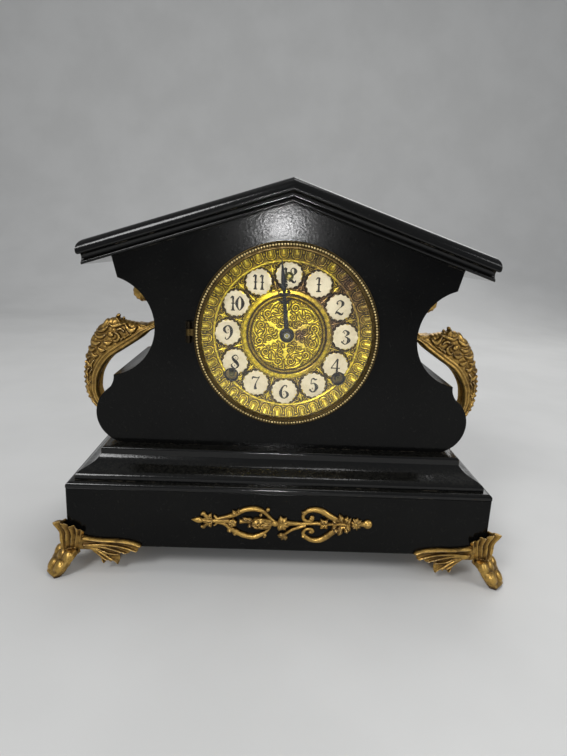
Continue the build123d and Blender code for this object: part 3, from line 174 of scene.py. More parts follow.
def ball(centre, size, rows=10, columns=12):
    """A small closed bead."""
    lat = np.linspace(-pi / 2, pi / 2, rows)[:, None]
    lat[[0, -1]] *= 0.999
    turn = turns(columns)
    rings = grid(np.cos(lat) * np.cos(turn), np.cos(lat) * np.sin(turn), np.sin(lat))
    return tube(rings * size + np.asarray(centre, float))


def ring_skin(profile, centre, count):
    """A closed turned ring about a line along the depth: profile of (radius, depth)."""
    radius, depth = np.asarray(profile, float).T[..., None]
    turn = turns(count)
    points = grid(centre[0] + radius * np.cos(turn), depth, centre[1] + radius * np.sin(turn))
    points = points.reshape(-1, 3)
    return points, outward(points, quads(len(profile), count, wrap_rows=True, wrap_columns=True))


def round_section(radius, depth, size, count=14):
    """A round section of a turned ring."""
    turn = turns(count)
    return grid(radius + size * np.cos(turn), depth + size * np.sin(turn))


def join(skins):
    """Several skins as one."""
    points, faces, start = [], [], 0
    for p, f in skins:
        points.append(p)
        faces.append(f + start)
        start += len(p)
    return np.vstack(points), np.concatenate(faces)


def mirrored(skin, signs):
    """A skin mirrored about the origin along each axis whose sign is -1."""
    points, faces = skin
    return points * np.asarray(signs, float), faces[:, ::-1] if np.prod(signs) < 0 else faces


def put(name, data):
    """An object in the scene."""
    made = bpy.data.objects.new(name, data)
    bpy.context.scene.collection.objects.link(made)
    return made


def mesh_of(name, points, faces):
    """A mesh with smooth shading."""
    mesh = bpy.data.meshes.new(name)
    mesh.from_pydata(np.asarray(points).tolist(), [], np.asarray(faces).tolist())
    mesh.polygons.foreach_set("use_smooth", np.ones(len(mesh.polygons), bool))
    return mesh


def make(name, skin, material, body, replaces=(), marks=None):
    """A piece from a skin, riding on a body."""
    points, faces = skin
    mesh = mesh_of(name, points * MM, faces)
    for label, values in (marks or {}).items():
        layer = mesh.attributes.new(label, "FLOAT", "POINT")
        layer.data.foreach_set("value", np.asarray(values, np.float32))
    mesh.update()
    mesh.materials.append(material)
    piece = put(name, mesh)
    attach(piece, body)
    if replaces:
        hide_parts(*replaces)


def cast(skin, voxel, passes):
    """Overlapping skins melted into one closed skin, as a casting is."""
    mesh = mesh_of("mould", *skin)
    mould = put("mould", mesh)
    melt = mould.modifiers.new("melt", "REMESH")
    melt.mode = "VOXEL"
    melt.voxel_size = voxel
    ease = mould.modifiers.new("ease", "SMOOTH")
    ease.factor = 0.5
    ease.iterations = passes
    made = bpy.data.meshes.new_from_object(mould.evaluated_get(bpy.context.evaluated_depsgraph_get()))
    points = np.zeros(len(made.vertices) * 3)
    made.vertices.foreach_get("co", points)
    corners = np.zeros(len(made.loops), int)
    made.loops.foreach_get("vertex_index", corners)
    bpy.data.objects.remove(mould)
    bpy.data.meshes.remove(mesh)
    bpy.data.meshes.remove(made)
    return points.reshape(-1, 3), corners.reshape(-1, 4)


# Materials. Sizes of bumps, hollows and edges are in millimetres.

class Paint:
    """A node material with short calls for the nodes that are used again and again."""

    def __init__(self, name):
        self.material = bpy.data.materials.new(name)
        self.material.use_nodes = True
        self.tree = self.material.node_tree
        self.tree.nodes.clear()
        self.out = self.node("OutputMaterial")
        self.place = self.node("TexCoord").outputs["Object"]
        self.normal = None

    def node(self, kind, inputs=(), **settings):
        """A shader node with its settings, and its inputs linked or set."""
        made = self.tree.nodes.new("ShaderNode" + kind)
        for key, value in settings.items():
            setattr(made, key, value)
        for key, value in dict(inputs).items():
            self.link(value, made.inputs[key])
        return made

    def link(self, source, socket):
        """A link from another socket, or a fixed value."""
        if isinstance(source, bpy.types.NodeSocket):
            self.tree.links.new(source, socket)
        else:
            socket.default_value = source

    def noise(self, scale, detail=4.0, rough=0.55, stretch=None):
        where = self.place
        if stretch:
            where = self.node("Mapping", {"Vector": where, "Scale": stretch}).outputs["Vector"]
        inputs = {"Vector": where, "Scale": scale, "Detail": detail, "Roughness": rough}
        return self.node("TexNoise", inputs).outputs["Fac"]

    def fit(self, value, low, high, to_low=0.0, to_high=1.0):
        inputs = {"Value": value, "From Min": low, "From Max": high, "To Min": to_low, "To Max": to_high}
        return self.node("MapRange", inputs, interpolation_type="SMOOTHSTEP").outputs["Result"]

    def plus(self, a, b):
        return self.node("Math", {0: a, 1: b}, operation="ADD").outputs[0]

    def times(self, a, b):
        return self.node("Math", {0: a, 1: b}, operation="MULTIPLY").outputs[0]

    def mix(self, share, a, b):
        a, b = (c if isinstance(c, bpy.types.NodeSocket) else (*c, 1) for c in (a, b))
        return self.node("Mix", data_type="RGBA", inputs={"Factor": share, "A": a, "B": b}).outputs["Result"]

    def ramp(self, value, *stops):
        made = self.node("ValToRGB", {"Fac": value})
        bar = made.color_ramp
        while len(bar.elements) < len(stops):
            bar.elements.new(0.5)
        for element, (at, colour) in zip(bar.elements, stops):
            element.position = at
            element.color = (*colour, 1)
        return made.outputs["Color"]

    def bump(self, height, strength, distance):
        inputs = {"Strength": strength, "Distance": distance * MM, "Height": height}
        if self.normal:
            inputs["Normal"] = self.normal
        self.normal = self.node("Bump", inputs).outputs["Normal"]

    def mark(self, label):
        return self.node("Attribute", attribute_name=label).outputs["Fac"]

    def surface(self, what):
        return self.node("NewGeometry").outputs[what]

    def facing_up(self, low, high):
        parts = self.node("SeparateXYZ", {0: self.surface("Normal")})
        return self.fit(parts.outputs["Z"], low, high)

    def hollow(self, distance):
        return self.node("AmbientOcclusion", {"Distance": distance * MM}, samples=8).outputs["AO"]

    def edges(self, radius):
        bevel = self.node("Bevel", {"Radius": radius * MM}, samples=6).outputs["Normal"]
        turned = self.node("VectorMath", {0: bevel, 1: self.surface("Normal")}, operation="DOT_PRODUCT")
        return self.fit(turned.outputs["Value"], 0.99, 0.86)

    def finish(self, colour, roughness, metallic=0.0, **fixed):
        inputs = {"Base Color": colour, "Roughness": roughness, "Metallic": metallic}
        inputs.update({key.replace("_", " "): value for key, value in fixed.items()})
        if self.normal:
            inputs["Normal"] = inputs["Coat Normal"] = self.normal
        self.link(self.node("BsdfPrincipled", inputs).outputs[0], self.out.inputs["Surface"])
        return self.material


def enamel(name, coat, coat_rough):
    """Glossy black japanned wood under dust and fine scratches."""
    p = Paint(name)
    specks = p.fit(p.noise(900, 2), 0.66, 0.74)
    dust = p.times(p.facing_up(0.45, 1.0), p.fit(p.noise(420, 8, 0.75), 0.30, 0.80))
    worn = p.times(p.edges(0.9), p.fit(p.noise(120, 5, 0.65), 0.52, 0.64))
    haze = p.fit(p.noise(14, 3), 0.35, 0.75)
    colour = p.mix(haze, (0.0016, 0.0016, 0.0016), (0.0032, 0.0032, 0.0029))
    colour = p.mix(p.times(specks, 0.10), colour, (0.12, 0.12, 0.10))
    colour = p.mix(p.times(dust, 0.22), colour, (0.060, 0.057, 0.045))
    colour = p.mix(p.times(worn, 0.45), colour, (0.13, 0.11, 0.08))
    rough = p.plus(p.fit(p.noise(40, 5), 0.3, 0.7, 0.20, 0.26), p.times(dust, 0.14))
    p.bump(p.noise(1.0, 3, 0.6, (160, 160, 2600)), 0.07, 0.05)
    p.bump(p.noise(560, 4, 0.6), 0.42, 0.13)
    return p.finish(colour, rough, Specular_IOR_Level=0.06, Coat_Weight=coat, Coat_Roughness=coat_rough)


def stained():
    """Dark stained softwood with grain along the board."""
    p = Paint("stained_wood")
    grain = p.noise(1.0, 6, 0.6, (30, 60, 700))
    pores = p.fit(p.noise(1.0, 3, 0.5, (90, 400, 2600)), 0.60, 0.72)
    colour = p.ramp(grain, (0.25, (0.018, 0.011, 0.007)), (0.55, (0.045, 0.026, 0.014)),
                    (0.8, (0.085, 0.048, 0.024)))
    colour = p.mix(p.times(pores, 0.7), colour, (0.009, 0.006, 0.004))
    p.bump(grain, 0.25, 0.25)
    return p.finish(colour, p.fit(grain, 0.3, 0.7, 0.62, 0.46), Specular_IOR_Level=0.4)


def gilt():
    """Gilt white metal casting: painted shade darkening the hollows and creases, brown tarnish patches and
    grime, high spots lightened as wear and painted highlight.
    """
    p = Paint("gilt_casting")
    # Painted shade: the colour falls to near black deep in the hollows.
    colour = p.ramp(p.hollow(3.4), (0.36, (0.010, 0.005, 0.002)), (0.64, (0.085, 0.043, 0.010)),
                    (0.85, (0.25, 0.140, 0.033)), (0.99, (0.53, 0.330, 0.088)))
    patches = p.noise(150, 5, 0.6)
    colour = p.mix(p.fit(patches, 0.46, 0.68, 0.0, 0.7), colour, (0.12, 0.072, 0.028))
    # Painted shade in the creases, where the surface turns inwards.
    sharp = p.surface("Pointiness")
    colour = p.mix(p.fit(sharp, 0.497, 0.445, 0.0, 0.85), colour, (0.022, 0.011, 0.004))
    # High spots lightened: wear and painted highlight.
    rubbed_and_highlight = p.times(p.fit(sharp, 0.515, 0.575), p.fit(p.noise(260, 4), 0.36, 0.60))
    colour = p.mix(p.times(rubbed_and_highlight, 0.65), colour, (0.66, 0.51, 0.29))
    grime = p.noise(480, 5, 0.7)
    colour = p.mix(p.fit(grime, 0.50, 0.70, 0.0, 0.6), colour, (0.065, 0.036, 0.011))
    p.bump(p.noise(700, 4), 0.45, 0.18)
    return p.finish(colour, p.fit(grime, 0.35, 0.7, 0.28, 0.52), 0.9)


def stamped():
    """Lacquered stamped brass: tone from the relief mark, with dark lines of painted shade in the ground and
    painted highlights, and clouds of brown tarnish.
    """
    p = Paint("stamped_brass")
    # The relief mark is the stamped tone, with painted shade and painted highlight in it.
    line = p.mark("relief")
    tone = p.ramp(line, (0.05, (0.020, 0.010, 0.002)), (0.35, (0.24, 0.155, 0.012)),
                  (0.65, (0.68, 0.500, 0.022)), (0.95, (1.0, 0.79, 0.090)))
    brown = p.ramp(line, (0.05, (0.014, 0.007, 0.004)), (0.5, (0.13, 0.068, 0.034)),
                   (0.95, (0.29, 0.165, 0.080)))
    cloud = p.fit(p.noise(85, 5, 0.62), 0.30, 0.52)
    colour = p.mix(p.times(cloud, p.mark("tarnish")), tone, brown)
    p.bump(p.noise(1400, 3), 0.12, 0.05)
    return p.finish(colour, p.fit(p.noise(300, 3), 0.3, 0.7, 0.20, 0.33), 0.66, Specular_IOR_Level=0.12)


def antique(name, low, middle, high):
    """Antique brass, darkened in its hollows with painted shade."""
    p = Paint(name)
    # Painted shade: darker where the hollows close in.
    colour = p.ramp(p.hollow(1.6), (0.30, low), (0.66, middle), (0.96, high))
    colour = p.mix(p.fit(p.noise(220, 4), 0.48, 0.70, 0.0, 0.6), colour, middle)
    return p.finish(colour, p.fit(p.noise(500, 3), 0.3, 0.7, 0.26, 0.42), 0.9)


def metal(name, low, high, rough_low, rough_high, scale=1.0, stretch=None):
    """Plain metal with brushed streaks or patches."""
    p = Paint(name)
    streak = p.noise(scale, 4, 0.6, stretch)
    colour = p.ramp(streak, (0.3, low), (0.7, high))
    p.bump(streak, 0.12, 0.06)
    return p.finish(colour, p.fit(streak, 0.3, 0.7, rough_high, rough_low), 0.95)


def cream():
    """Cream enamelled plates with age spots."""
    p = Paint("cream_plate")
    spots = p.fit(p.noise(330, 5, 0.65), 0.50, 0.68)
    colour = p.mix(p.fit(p.noise(90, 4), 0.35, 0.7), (0.57, 0.485, 0.330), (0.47, 0.390, 0.250))
    colour = p.mix(p.times(spots, 0.35), colour, (0.36, 0.28, 0.17))
    p.bump(p.noise(1500, 3), 0.10, 0.04)
    return p.finish(colour, p.fit(spots, 0.0, 1.0, 0.42, 0.6))


def ink():
    """Black ink of the numerals."""
    p = Paint("numeral_ink")
    colour = p.mix(p.fit(p.noise(900, 3), 0.5, 0.72), (0.006, 0.005, 0.005), (0.035, 0.030, 0.024))
    return p.finish(colour, p.fit(p.noise(600, 2), 0.3, 0.7, 0.45, 0.6), Specular_IOR_Level=0.1)


def blacked():
    """Blackened steel of the hands."""
    p = Paint("black_hands")
    wear = p.noise(420, 5, 0.65)
    colour = p.mix(p.fit(wear, 0.55, 0.78), (0.006, 0.006, 0.008), (0.045, 0.042, 0.042))
    p.bump(wear, 0.10, 0.05)
    return p.finish(colour, p.fit(wear, 0.3, 0.7, 0.30, 0.48), 0.2, Specular_IOR_Level=0.2)


def glazing():
    """Clear glass that lets light through to the dial."""
    p = Paint("clear_glass")
    smear = p.fit(p.noise(25, 4), 0.4, 0.8, 0.0, 0.05)
    pane = p.node("BsdfPrincipled", {"Base Color": (0.98, 1.0, 0.985, 1), "Transmission Weight": 1.0,
                                     "IOR": 1.46, "Specular IOR Level": 0.12, "Roughness": smear})
    shadow = p.node("LightPath").outputs["Is Shadow Ray"]
    clear = p.node("BsdfTransparent").outputs[0]
    light = p.node("MixShader", {0: shadow, 1: pane.outputs[0], 2: clear})
    p.link(light.outputs[0], p.out.inputs["Surface"])
    return p.material


ENAMEL = enamel("black_enamel", 0.17, 0.10)
POLISHED = enamel("polished_enamel", 0.60, 0.09)
STAINED = stained()
GILT = gilt()
STAMPED = stamped()
ANTIQUE = antique("bezel_brass", (0.004, 0.003, 0.001), (0.024, 0.015, 0.005), (0.088, 0.058, 0.019))
BEADED = antique("bead_brass", (0.014, 0.009, 0.003), (0.22, 0.150, 0.050), (0.74, 0.570, 0.270))
BRONZE = antique("dark_bronze", (0.003, 0.002, 0.001), (0.007, 0.005, 0.003), (0.018, 0.013, 0.007))
OLIVE = antique("olive_brass", (0.008, 0.006, 0.002), (0.07, 0.058, 0.014), (0.25, 0.210, 0.055))
TUBE = antique("dark_brass", (0.006, 0.005, 0.002), (0.022, 0.019, 0.006), (0.075, 0.064, 0.018))
BRASS = metal("plate_brass", (0.42, 0.27, 0.07), (0.60, 0.42, 0.13), 0.26, 0.40, stretch=(60, 60, 1500))
STEEL = metal("steel", (0.28, 0.28, 0.29), (0.46, 0.46, 0.47), 0.24, 0.38, stretch=(900, 200, 900))
IRON = metal("iron", (0.045, 0.042, 0.04), (0.10, 0.095, 0.09), 0.42, 0.62, 300)
CREAM = cream()
INK = ink()
BLACKED = blacked()
GLASS = glazing()

BY_SLOT = {"black_enamelled_wood": ENAMEL, "stained_wood": STAINED, "gilt_casting": GILT, "brass": BRASS,
           "stamped_dial": STAMPED, "cream_plate": CREAM, "black_hands": BLACKED, "steel": STEEL,
           "glass": GLASS, "iron": IRON}
BY_NODE = (
    (ANTIQUE, ["bezel_ring"]),
    (BRONZE, ["bezel_hinge", "winding_bushes"]),
    (TUBE, ["time_winding_arbor", "strike_winding_arbor", "hand_nut"]),
    (OLIVE, ["centre_arbor", "regulator_arbor"]),
    (POLISHED, ["roof_beds", "roof_board_left", "roof_board_right", "base_deck", "base_moulding_front",
                "base_moulding_sides"]))
for part in frame["record"]["subparts"]:
    piece = frame["nodes"][part["node"]]
    piece.data.materials.clear()
    piece.data.materials.append(BY_SLOT[part["material_slot"]])
for material, nodes in BY_NODE:
    for node in nodes:
        frame["nodes"][node].data.materials[0] = material


# Dial. Its own drawing has x to the right and y up from the middle.

DIAL_Z = 171.0
DIAL_FRONT = -42.5
DIAL_BACK = -41.7
SHEET_BACK = DIAL_FRONT + 0.05
FLANGE_FRONT = -46.0
FLANGE_BACK = -45.0
FLANGE_RADIUS = 64.0
BORDER_OUTER = 59.9
BORDER_INNER = 52.2
CENTRE_RADIUS = 32.2
FILIGREE_RADIUS = 25.6
DIAL_BORE = 3.4
PLATE_CIRCLE = 41.8
PLATE_RADIUS = 8.5
PLATE_LOBE = 0.95
PLATE_LOBES = 16
EGGS = 40
EGG_HEIGHT = 8.6
ARCH_FOOT = 4.1
DART_PLACE = 6.2
STAMP = 1.04
WINDERS = ((38.8, -30.7), (-38.8, -30.7))
REGULATOR = (0.0, 41.0)
HOLES = [(*place, 4.5) for place in WINDERS] + [(*REGULATOR, 2.7)]
FACE_COLUMNS = 1440
CENTRE_COLUMNS = 1080
PLATE_COLUMNS = 288

# Scrolls are (x, y, outer radius, inner radius, angle, turns, half-width), strokes (x, y, half-width).
GROUND_SCROLLS = ((2.5, 46.3, 1.9, 0.3, 200, 1.4, 0.42), (6.4, 47.2, 0.9, 0.2, 90, 1.2, 0.3),
                  (2.1, 33.5, 1.5, 0.3, 20, 1.3, 0.4))
GROUND_STROKES = (
    [(0, 41.2, 0.2), (0, 45, 0.75), (0, 48.6, 0.25)],
    [(0.4, 43.4, 0.3), (1.2, 44.1, 0.4), (0.9, 45.2, 0.3)],
    [(4.4, 47.6, 0.4), (6.2, 48.3, 0.5), (8.5, 48, 0.4), (10.5, 48.1, 0.2)],
    [(0, 31.6, 0.6), (0, 34.2, 0.7), (0, 37.6, 0.2)],
    [(3.8, 31.8, 0.4), (5.4, 31.5, 0.5), (7.4, 31.2, 0.3)],
    [(0.3, 35.6, 0.2), (1.2, 36, 0.35), (1.4, 37.2, 0.2)],
    [(0.9, 38.4, 0.35), (0.9, 40.2, 0.35)])
FILIGREE_SCROLLS = ((-4.8, 18.6, 3.1, 0.4, 30, 1.6, 0.55), (6, 17.6, 2.6, 0.4, 150, -1.5, 0.5),
                    (-2.6, 12.2, 2, 0.3, -60, 1.4, 0.45), (3, 10.6, 1.7, 0.3, 200, -1.4, 0.42))
FILIGREE_STROKES = (
    [(-2, 20.4, 0.5), (1.5, 22.3, 0.6), (5.5, 22.6, 0.6), (9, 21, 0.5), (10.2, 19.2, 0.3)],
    [(-10.6, 20.6, 0.3), (-9.4, 19, 0.6), (-9, 17, 0.4), (-8, 15.4, 0.2)],
    [(-1.2, 17.2, 0.3), (0.4, 15.4, 0.6), (2.6, 14.6, 0.5), (4.2, 15, 0.3)],
    [(0.6, 19.9, 0.3), (2, 18.6, 0.7), (2.2, 16.9, 0.3)],
    [(-5.6, 14.6, 0.3), (-4, 14.8, 0.5), (-1.8, 14.5, 0.3)],
    [(-0.6, 9.8, 0.3), (0.2, 8.2, 0.6), (1.6, 7.2, 0.5), (2.8, 7.4, 0.3)],
    [(-2.8, 8.6, 0.3), (-1.8, 7.2, 0.5), (-0.6, 6.6, 0.2)],
    [(5.4, 13, 0.3), (6.2, 13.8, 0.5), (7.4, 14, 0.2)])
# Section of the dial's centre as (radius, height) and the tone of its ring as (radius, tone); the ring's tone
# is lighter on its rounds as painted highlight and darkest in its grooves as painted shade.
CENTRE_SECTION = ((DIAL_BORE, 0.7), (24.9, 0.7), (25.3, 0.42), (25.8, 0.38), (26.4, 0.85), (27.1, 0.85),
                  (27.7, 0.40), (28.4, 0.32), (29.2, 0.90), (31.4, 0.75), (31.9, 0.5), (32.2, 0))
RING_TONE = ((24.9, 0.75), (25.2, 0.08), (25.8, 0.05), (26.2, 0.30), (27.2, 0.38), (27.6, 0.07),
             (28.4, 0.04), (28.8, 0.42), (29.6, 0.56), (31.2, 0.50), (31.7, 0.42), (32.2, 0.08))


def stroke(points, count=40):
    """A smooth line of (x, y, half-width) rows."""
    return STAMP * curve(points, count)


def spiral(cx, cy, start, end, angle, winds, width, count=48):
    """A scroll from its outer end inwards."""
    t = np.linspace(0, 1, count)
    radius = start + (end - start) * t
    turn = np.radians(angle) + tau * winds * t
    return STAMP * grid(cx + radius * np.cos(turn), cy + radius * np.sin(turn), width * (1 - 0.35 * t))


def drawn(scrolls, strokes):
    """Scrolls and strokes as lines of (x, y, half-width) rows."""
    return [spiral(*scroll) for scroll in scrolls] + [stroke(points) for points in strokes]


def nearest(x, y, lines):
    """For each point the least distance to the lines, less their half-width there."""
    best = np.full(x.shape, 1e3)
    for line in lines:
        for a, b in zip(line[:-1], line[1:]):
            step = b[:2] - a[:2]
            f = np.clip(((x - a[0]) * step[0] + (y - a[1]) * step[1]) / max(step @ step, 1e-9), 0, 1)
            gap = np.hypot(x - a[0] - f * step[0], y - a[1] - f * step[1]) - (a[2] + f * (b[2] - a[2]))
            best = np.minimum(best, gap)
    return best


def engraved(gap, rise, line, ground):
    """Height and tone of stamped work: domed strokes, lighter than the ground, with a dark line of painted
    shade round each.
    """
    raised = dome(-gap / 0.7)
    edge = bell(gap, 0.5 * line, line)
    # Strokes lighter, and a dark line of painted shade round each.
    tone = np.clip(ground + (0.98 - ground) * raised - 0.86 * edge, 0, 1)
    return rise * raised - 0.35 * rise * edge, tone


def polar_grid(radii, count):
    """Radius and angle of the points of a polar grid."""
    return np.meshgrid(np.asarray(radii, float), turns(count), indexing="ij")


def folded(angle, parts, start):
    """Angle from the nearest of evenly spread axes."""
    step = tau / parts
    return np.abs((angle - start + step / 2) % step - step / 2)


def pierced(x, y, faces):
    """Faces that lie outside the dial's holes."""
    cx, cy = x.ravel()[faces].mean(1), y.ravel()[faces].mean(1)
    keep = np.ones(len(faces), bool)
    for hx, hy, radius in HOLES:
        keep &= np.hypot(cx - hx, cy - hy) > radius
    return faces[keep]


def stamp_marks(tone, stain):
    """Relief and tarnish of a stamped sheet's front points, then of its back points."""
    return {"relief": np.concatenate([tone.ravel(), np.full(tone.size, 0.5)]),
            "tarnish": np.tile(stain.ravel(), 2)}


def egg_border(r, a):
    """Height, tone and reach of the egg-and-dart border."""
    width = tau * r / EGGS
    x = ((a * EGGS / tau) % 1 - 0.5) * width
    y = (r - BORDER_INNER) / (BORDER_OUTER - BORDER_INNER) * EGG_HEIGHT
    arch = np.where(y > ARCH_FOOT, np.abs(x), np.hypot(x, y - ARCH_FOOT))
    ridge, inner = bell(arch, 2.9, 0.5), bell(arch, 1.7, 0.38)
    dent = bell(arch, 2.3, 0.32) + bell(arch, 3.6, 0.34)
    flute = dome(1 - x**2) * smooth(y, 3.6, 4.6)
    side = width / 2 - np.abs(x)
    dart = dome(1 - (side**2 + (y - DART_PLACE) ** 2) / 0.75)
    ring = bell(np.hypot(side, y - DART_PLACE), 1.25, 0.28)
    high = 0.75 * ridge + 0.2 * inner + 1.1 * flute + 0.5 * dart + 0.2 * ring - 0.25 * dent
    # Tone: flutes painted lighter as highlights, dents painted darker as shade.
    tone = 0.40 + 0.42 * ridge + 0.1 * inner + 0.56 * flute + 0.3 * dart - 0.5 * dent - 0.35 * ring
    return high, np.clip(tone, 0, 1), smooth(y, 0.2, 0.9) * (1 - smooth(y, 8.1, 8.5))


def dial_face():
    """The stamped pan: scrolled ground round the plates, a rim and the egg-and-dart border."""
    radii = np.concatenate([np.linspace(DIAL_BORE, 30, 12), np.arange(30.3, FLANGE_RADIUS, 0.23),
                            [FLANGE_RADIUS]])
    r, a = polar_grid(radii, FACE_COLUMNS)
    x, y = r * np.cos(a), r * np.sin(a)
    fold = folded(a, 12, pi / 12)
    fx, fy = r * np.sin(fold), r * np.cos(fold)
    gap = nearest(fx, fy, drawn(GROUND_SCROLLS, GROUND_STROKES))
    high, tone = engraved(gap, 0.42, 0.46, 0.68)
    plate = np.hypot(fx - PLATE_CIRCLE * sin(pi / 12), fy - PLATE_CIRCLE * cos(pi / 12))
    # Painted shade: a dark line in the groove round each plate.
    border = bell(plate, 9.7, 0.45)
    tone = np.clip(tone - 0.7 * border, 0, 1)
    high = high - 0.2 * border + 0.25 * bell(plate, 10.5, 0.4)
    inside = smooth(r, CENTRE_RADIUS, CENTRE_RADIUS + 0.6)
    inside = inside * (1 - smooth(r, BORDER_INNER - 1.7, BORDER_INNER - 1.2))
    high, tone = high * inside, 0.6 + (tone - 0.6) * inside
    rim = bell(r, BORDER_INNER - 0.5, 0.6)
    high, tone = high + 0.8 * rim, np.maximum(tone, rim)
    # Painted shade: dark lines on either side of the rim.
    lines = 0.55 * bell(r, BORDER_INNER + 0.6, 0.35) + 0.4 * bell(r, BORDER_INNER - 1.7, 0.3)
    tone = np.clip(tone - lines, 0, 1)
    egg, egg_tone, inside = egg_border(r, a)
    high, tone = high + egg * inside, tone + (egg_tone - tone) * inside
    # Painted shade under the bezel: darker past the border's outer edge.
    tone = tone * (1 - 0.5 * smooth(r, BORDER_OUTER - 0.3, BORDER_OUTER + 0.2))
    base = np.interp(r, [BORDER_INNER, BORDER_OUTER], [DIAL_FRONT, FLANGE_FRONT])
    depth = np.interp(r, [BORDER_INNER + 0.8, BORDER_OUTER - 0.9], [DIAL_BACK, FLANGE_BACK])
    skin = slab(grid(x, base - high, y + DIAL_Z), grid(x, depth, y + DIAL_Z),
                pierced(x, y, quads(*r.shape, wrap_columns=True)))
    stain = 0.95 * bell(a, 0.75, 0.75) + 0.75 * bell(r, 35, 3.5) * (np.cos(a) > -0.3)
    make("dial_face", skin, STAMPED, "case", ["dial_pan"],
         stamp_marks(tone, np.clip(stain, 0.12, 0.95)))


def dial_middle():
    """The moulded ring and the pierced-looking scrolled disc inside it."""
    radii = np.concatenate([np.arange(DIAL_BORE, FILIGREE_RADIUS, 0.17),
                            np.arange(FILIGREE_RADIUS, CENTRE_RADIUS, 0.12), [CENTRE_RADIUS]])
    r, a = polar_grid(radii, CENTRE_COLUMNS)
    x, y = r * np.cos(a), r * np.sin(a)
    lean = (a + pi / 6) % (pi / 3) - pi / 6
    fx, fy = -r * np.sin(lean), r * np.cos(lean)
    lines = drawn(FILIGREE_SCROLLS, FILIGREE_STROKES)
    for turn in np.radians(range(-25, 26, 10)):
        arc = ((-0.075, 0, 0.2), (0, 1.0, 0.35), (0.075, 0, 0.2))
        lines.append(stroke([(24.2 * sin(turn + d), (24.2 - h) * cos(turn + d), w)
                             for d, h, w in arc], 12))
    high, tone = engraved(nearest(fx, fy, lines), 0.46, 0.54, 0.92)
    inside = (1 - smooth(r, 24.9, 25.4)) * smooth(r, 5.8, 6.2)
    tone = np.where(r < 25.1, 0.85 + (tone - 0.85) * inside, np.interp(r, *zip(*RING_TONE)))
    # Painted shade round the bore, under the hands' hub.
    tone = tone * (1 - 0.75 * (1 - smooth(r, 5.0, 5.6)))
    front = DIAL_FRONT - np.interp(r, *zip(*CENTRE_SECTION)) - high * inside
    skin = slab(grid(x, front, y + DIAL_Z), grid(x, SHEET_BACK, y + DIAL_Z),
                quads(*r.shape, wrap_columns=True))
    stain = bell(x, 10, 7.5) * bell(y, 1, 8.5) + 0.5 * (r > 28) * (np.cos(a - 0.4) > 0)
    make("dial_filigree", skin, STAMPED, "case", ["dial_centre"],
         stamp_marks(tone, np.clip(stain, 0.0, 1.0)))


def around(hour):
    """A plate's centre on the dial."""
    turn = radians(90 - 30 * hour)
    return PLATE_CIRCLE * cos(turn), PLATE_CIRCLE * sin(turn)


def plates():
    """Twelve scalloped plates, slightly domed, with the holes of the dial."""
    skins = []
    shares = np.concatenate([np.linspace(0.02, 0.9, 26), [0.94, 0.97, 0.99, 1.0]])
    share, turn = polar_grid(shares, PLATE_COLUMNS)
    for hour in range(12):
        cx, cy = around(hour)
        shift = RNG.uniform(0, tau, 3)
        wave = PLATE_LOBES * turn / 2 + shift[0] + 0.5 * np.sin(2 * turn + shift[1])
        edge = PLATE_RADIUS + PLATE_LOBE * (1 - np.abs(np.sin(wave)))
        edge = edge + 0.16 * np.sin(3 * turn + shift[1]) + 0.14 * np.sin(5 * turn + shift[2])
        x, y = cx + share * edge * np.cos(turn), cy + share * edge * np.sin(turn)
        high = 0.4 - 0.22 * smooth(share, 0.93, 1.0) + 0.05 * (1 - share**2)
        skins.append(slab(grid(x, DIAL_FRONT - high, y + DIAL_Z), grid(x, SHEET_BACK, y + DIAL_Z),
                          pierced(x, y, quads(*x.shape, wrap_columns=True))))
    make("cartouches", join(skins), CREAM, "case", ["numeral_plates"])


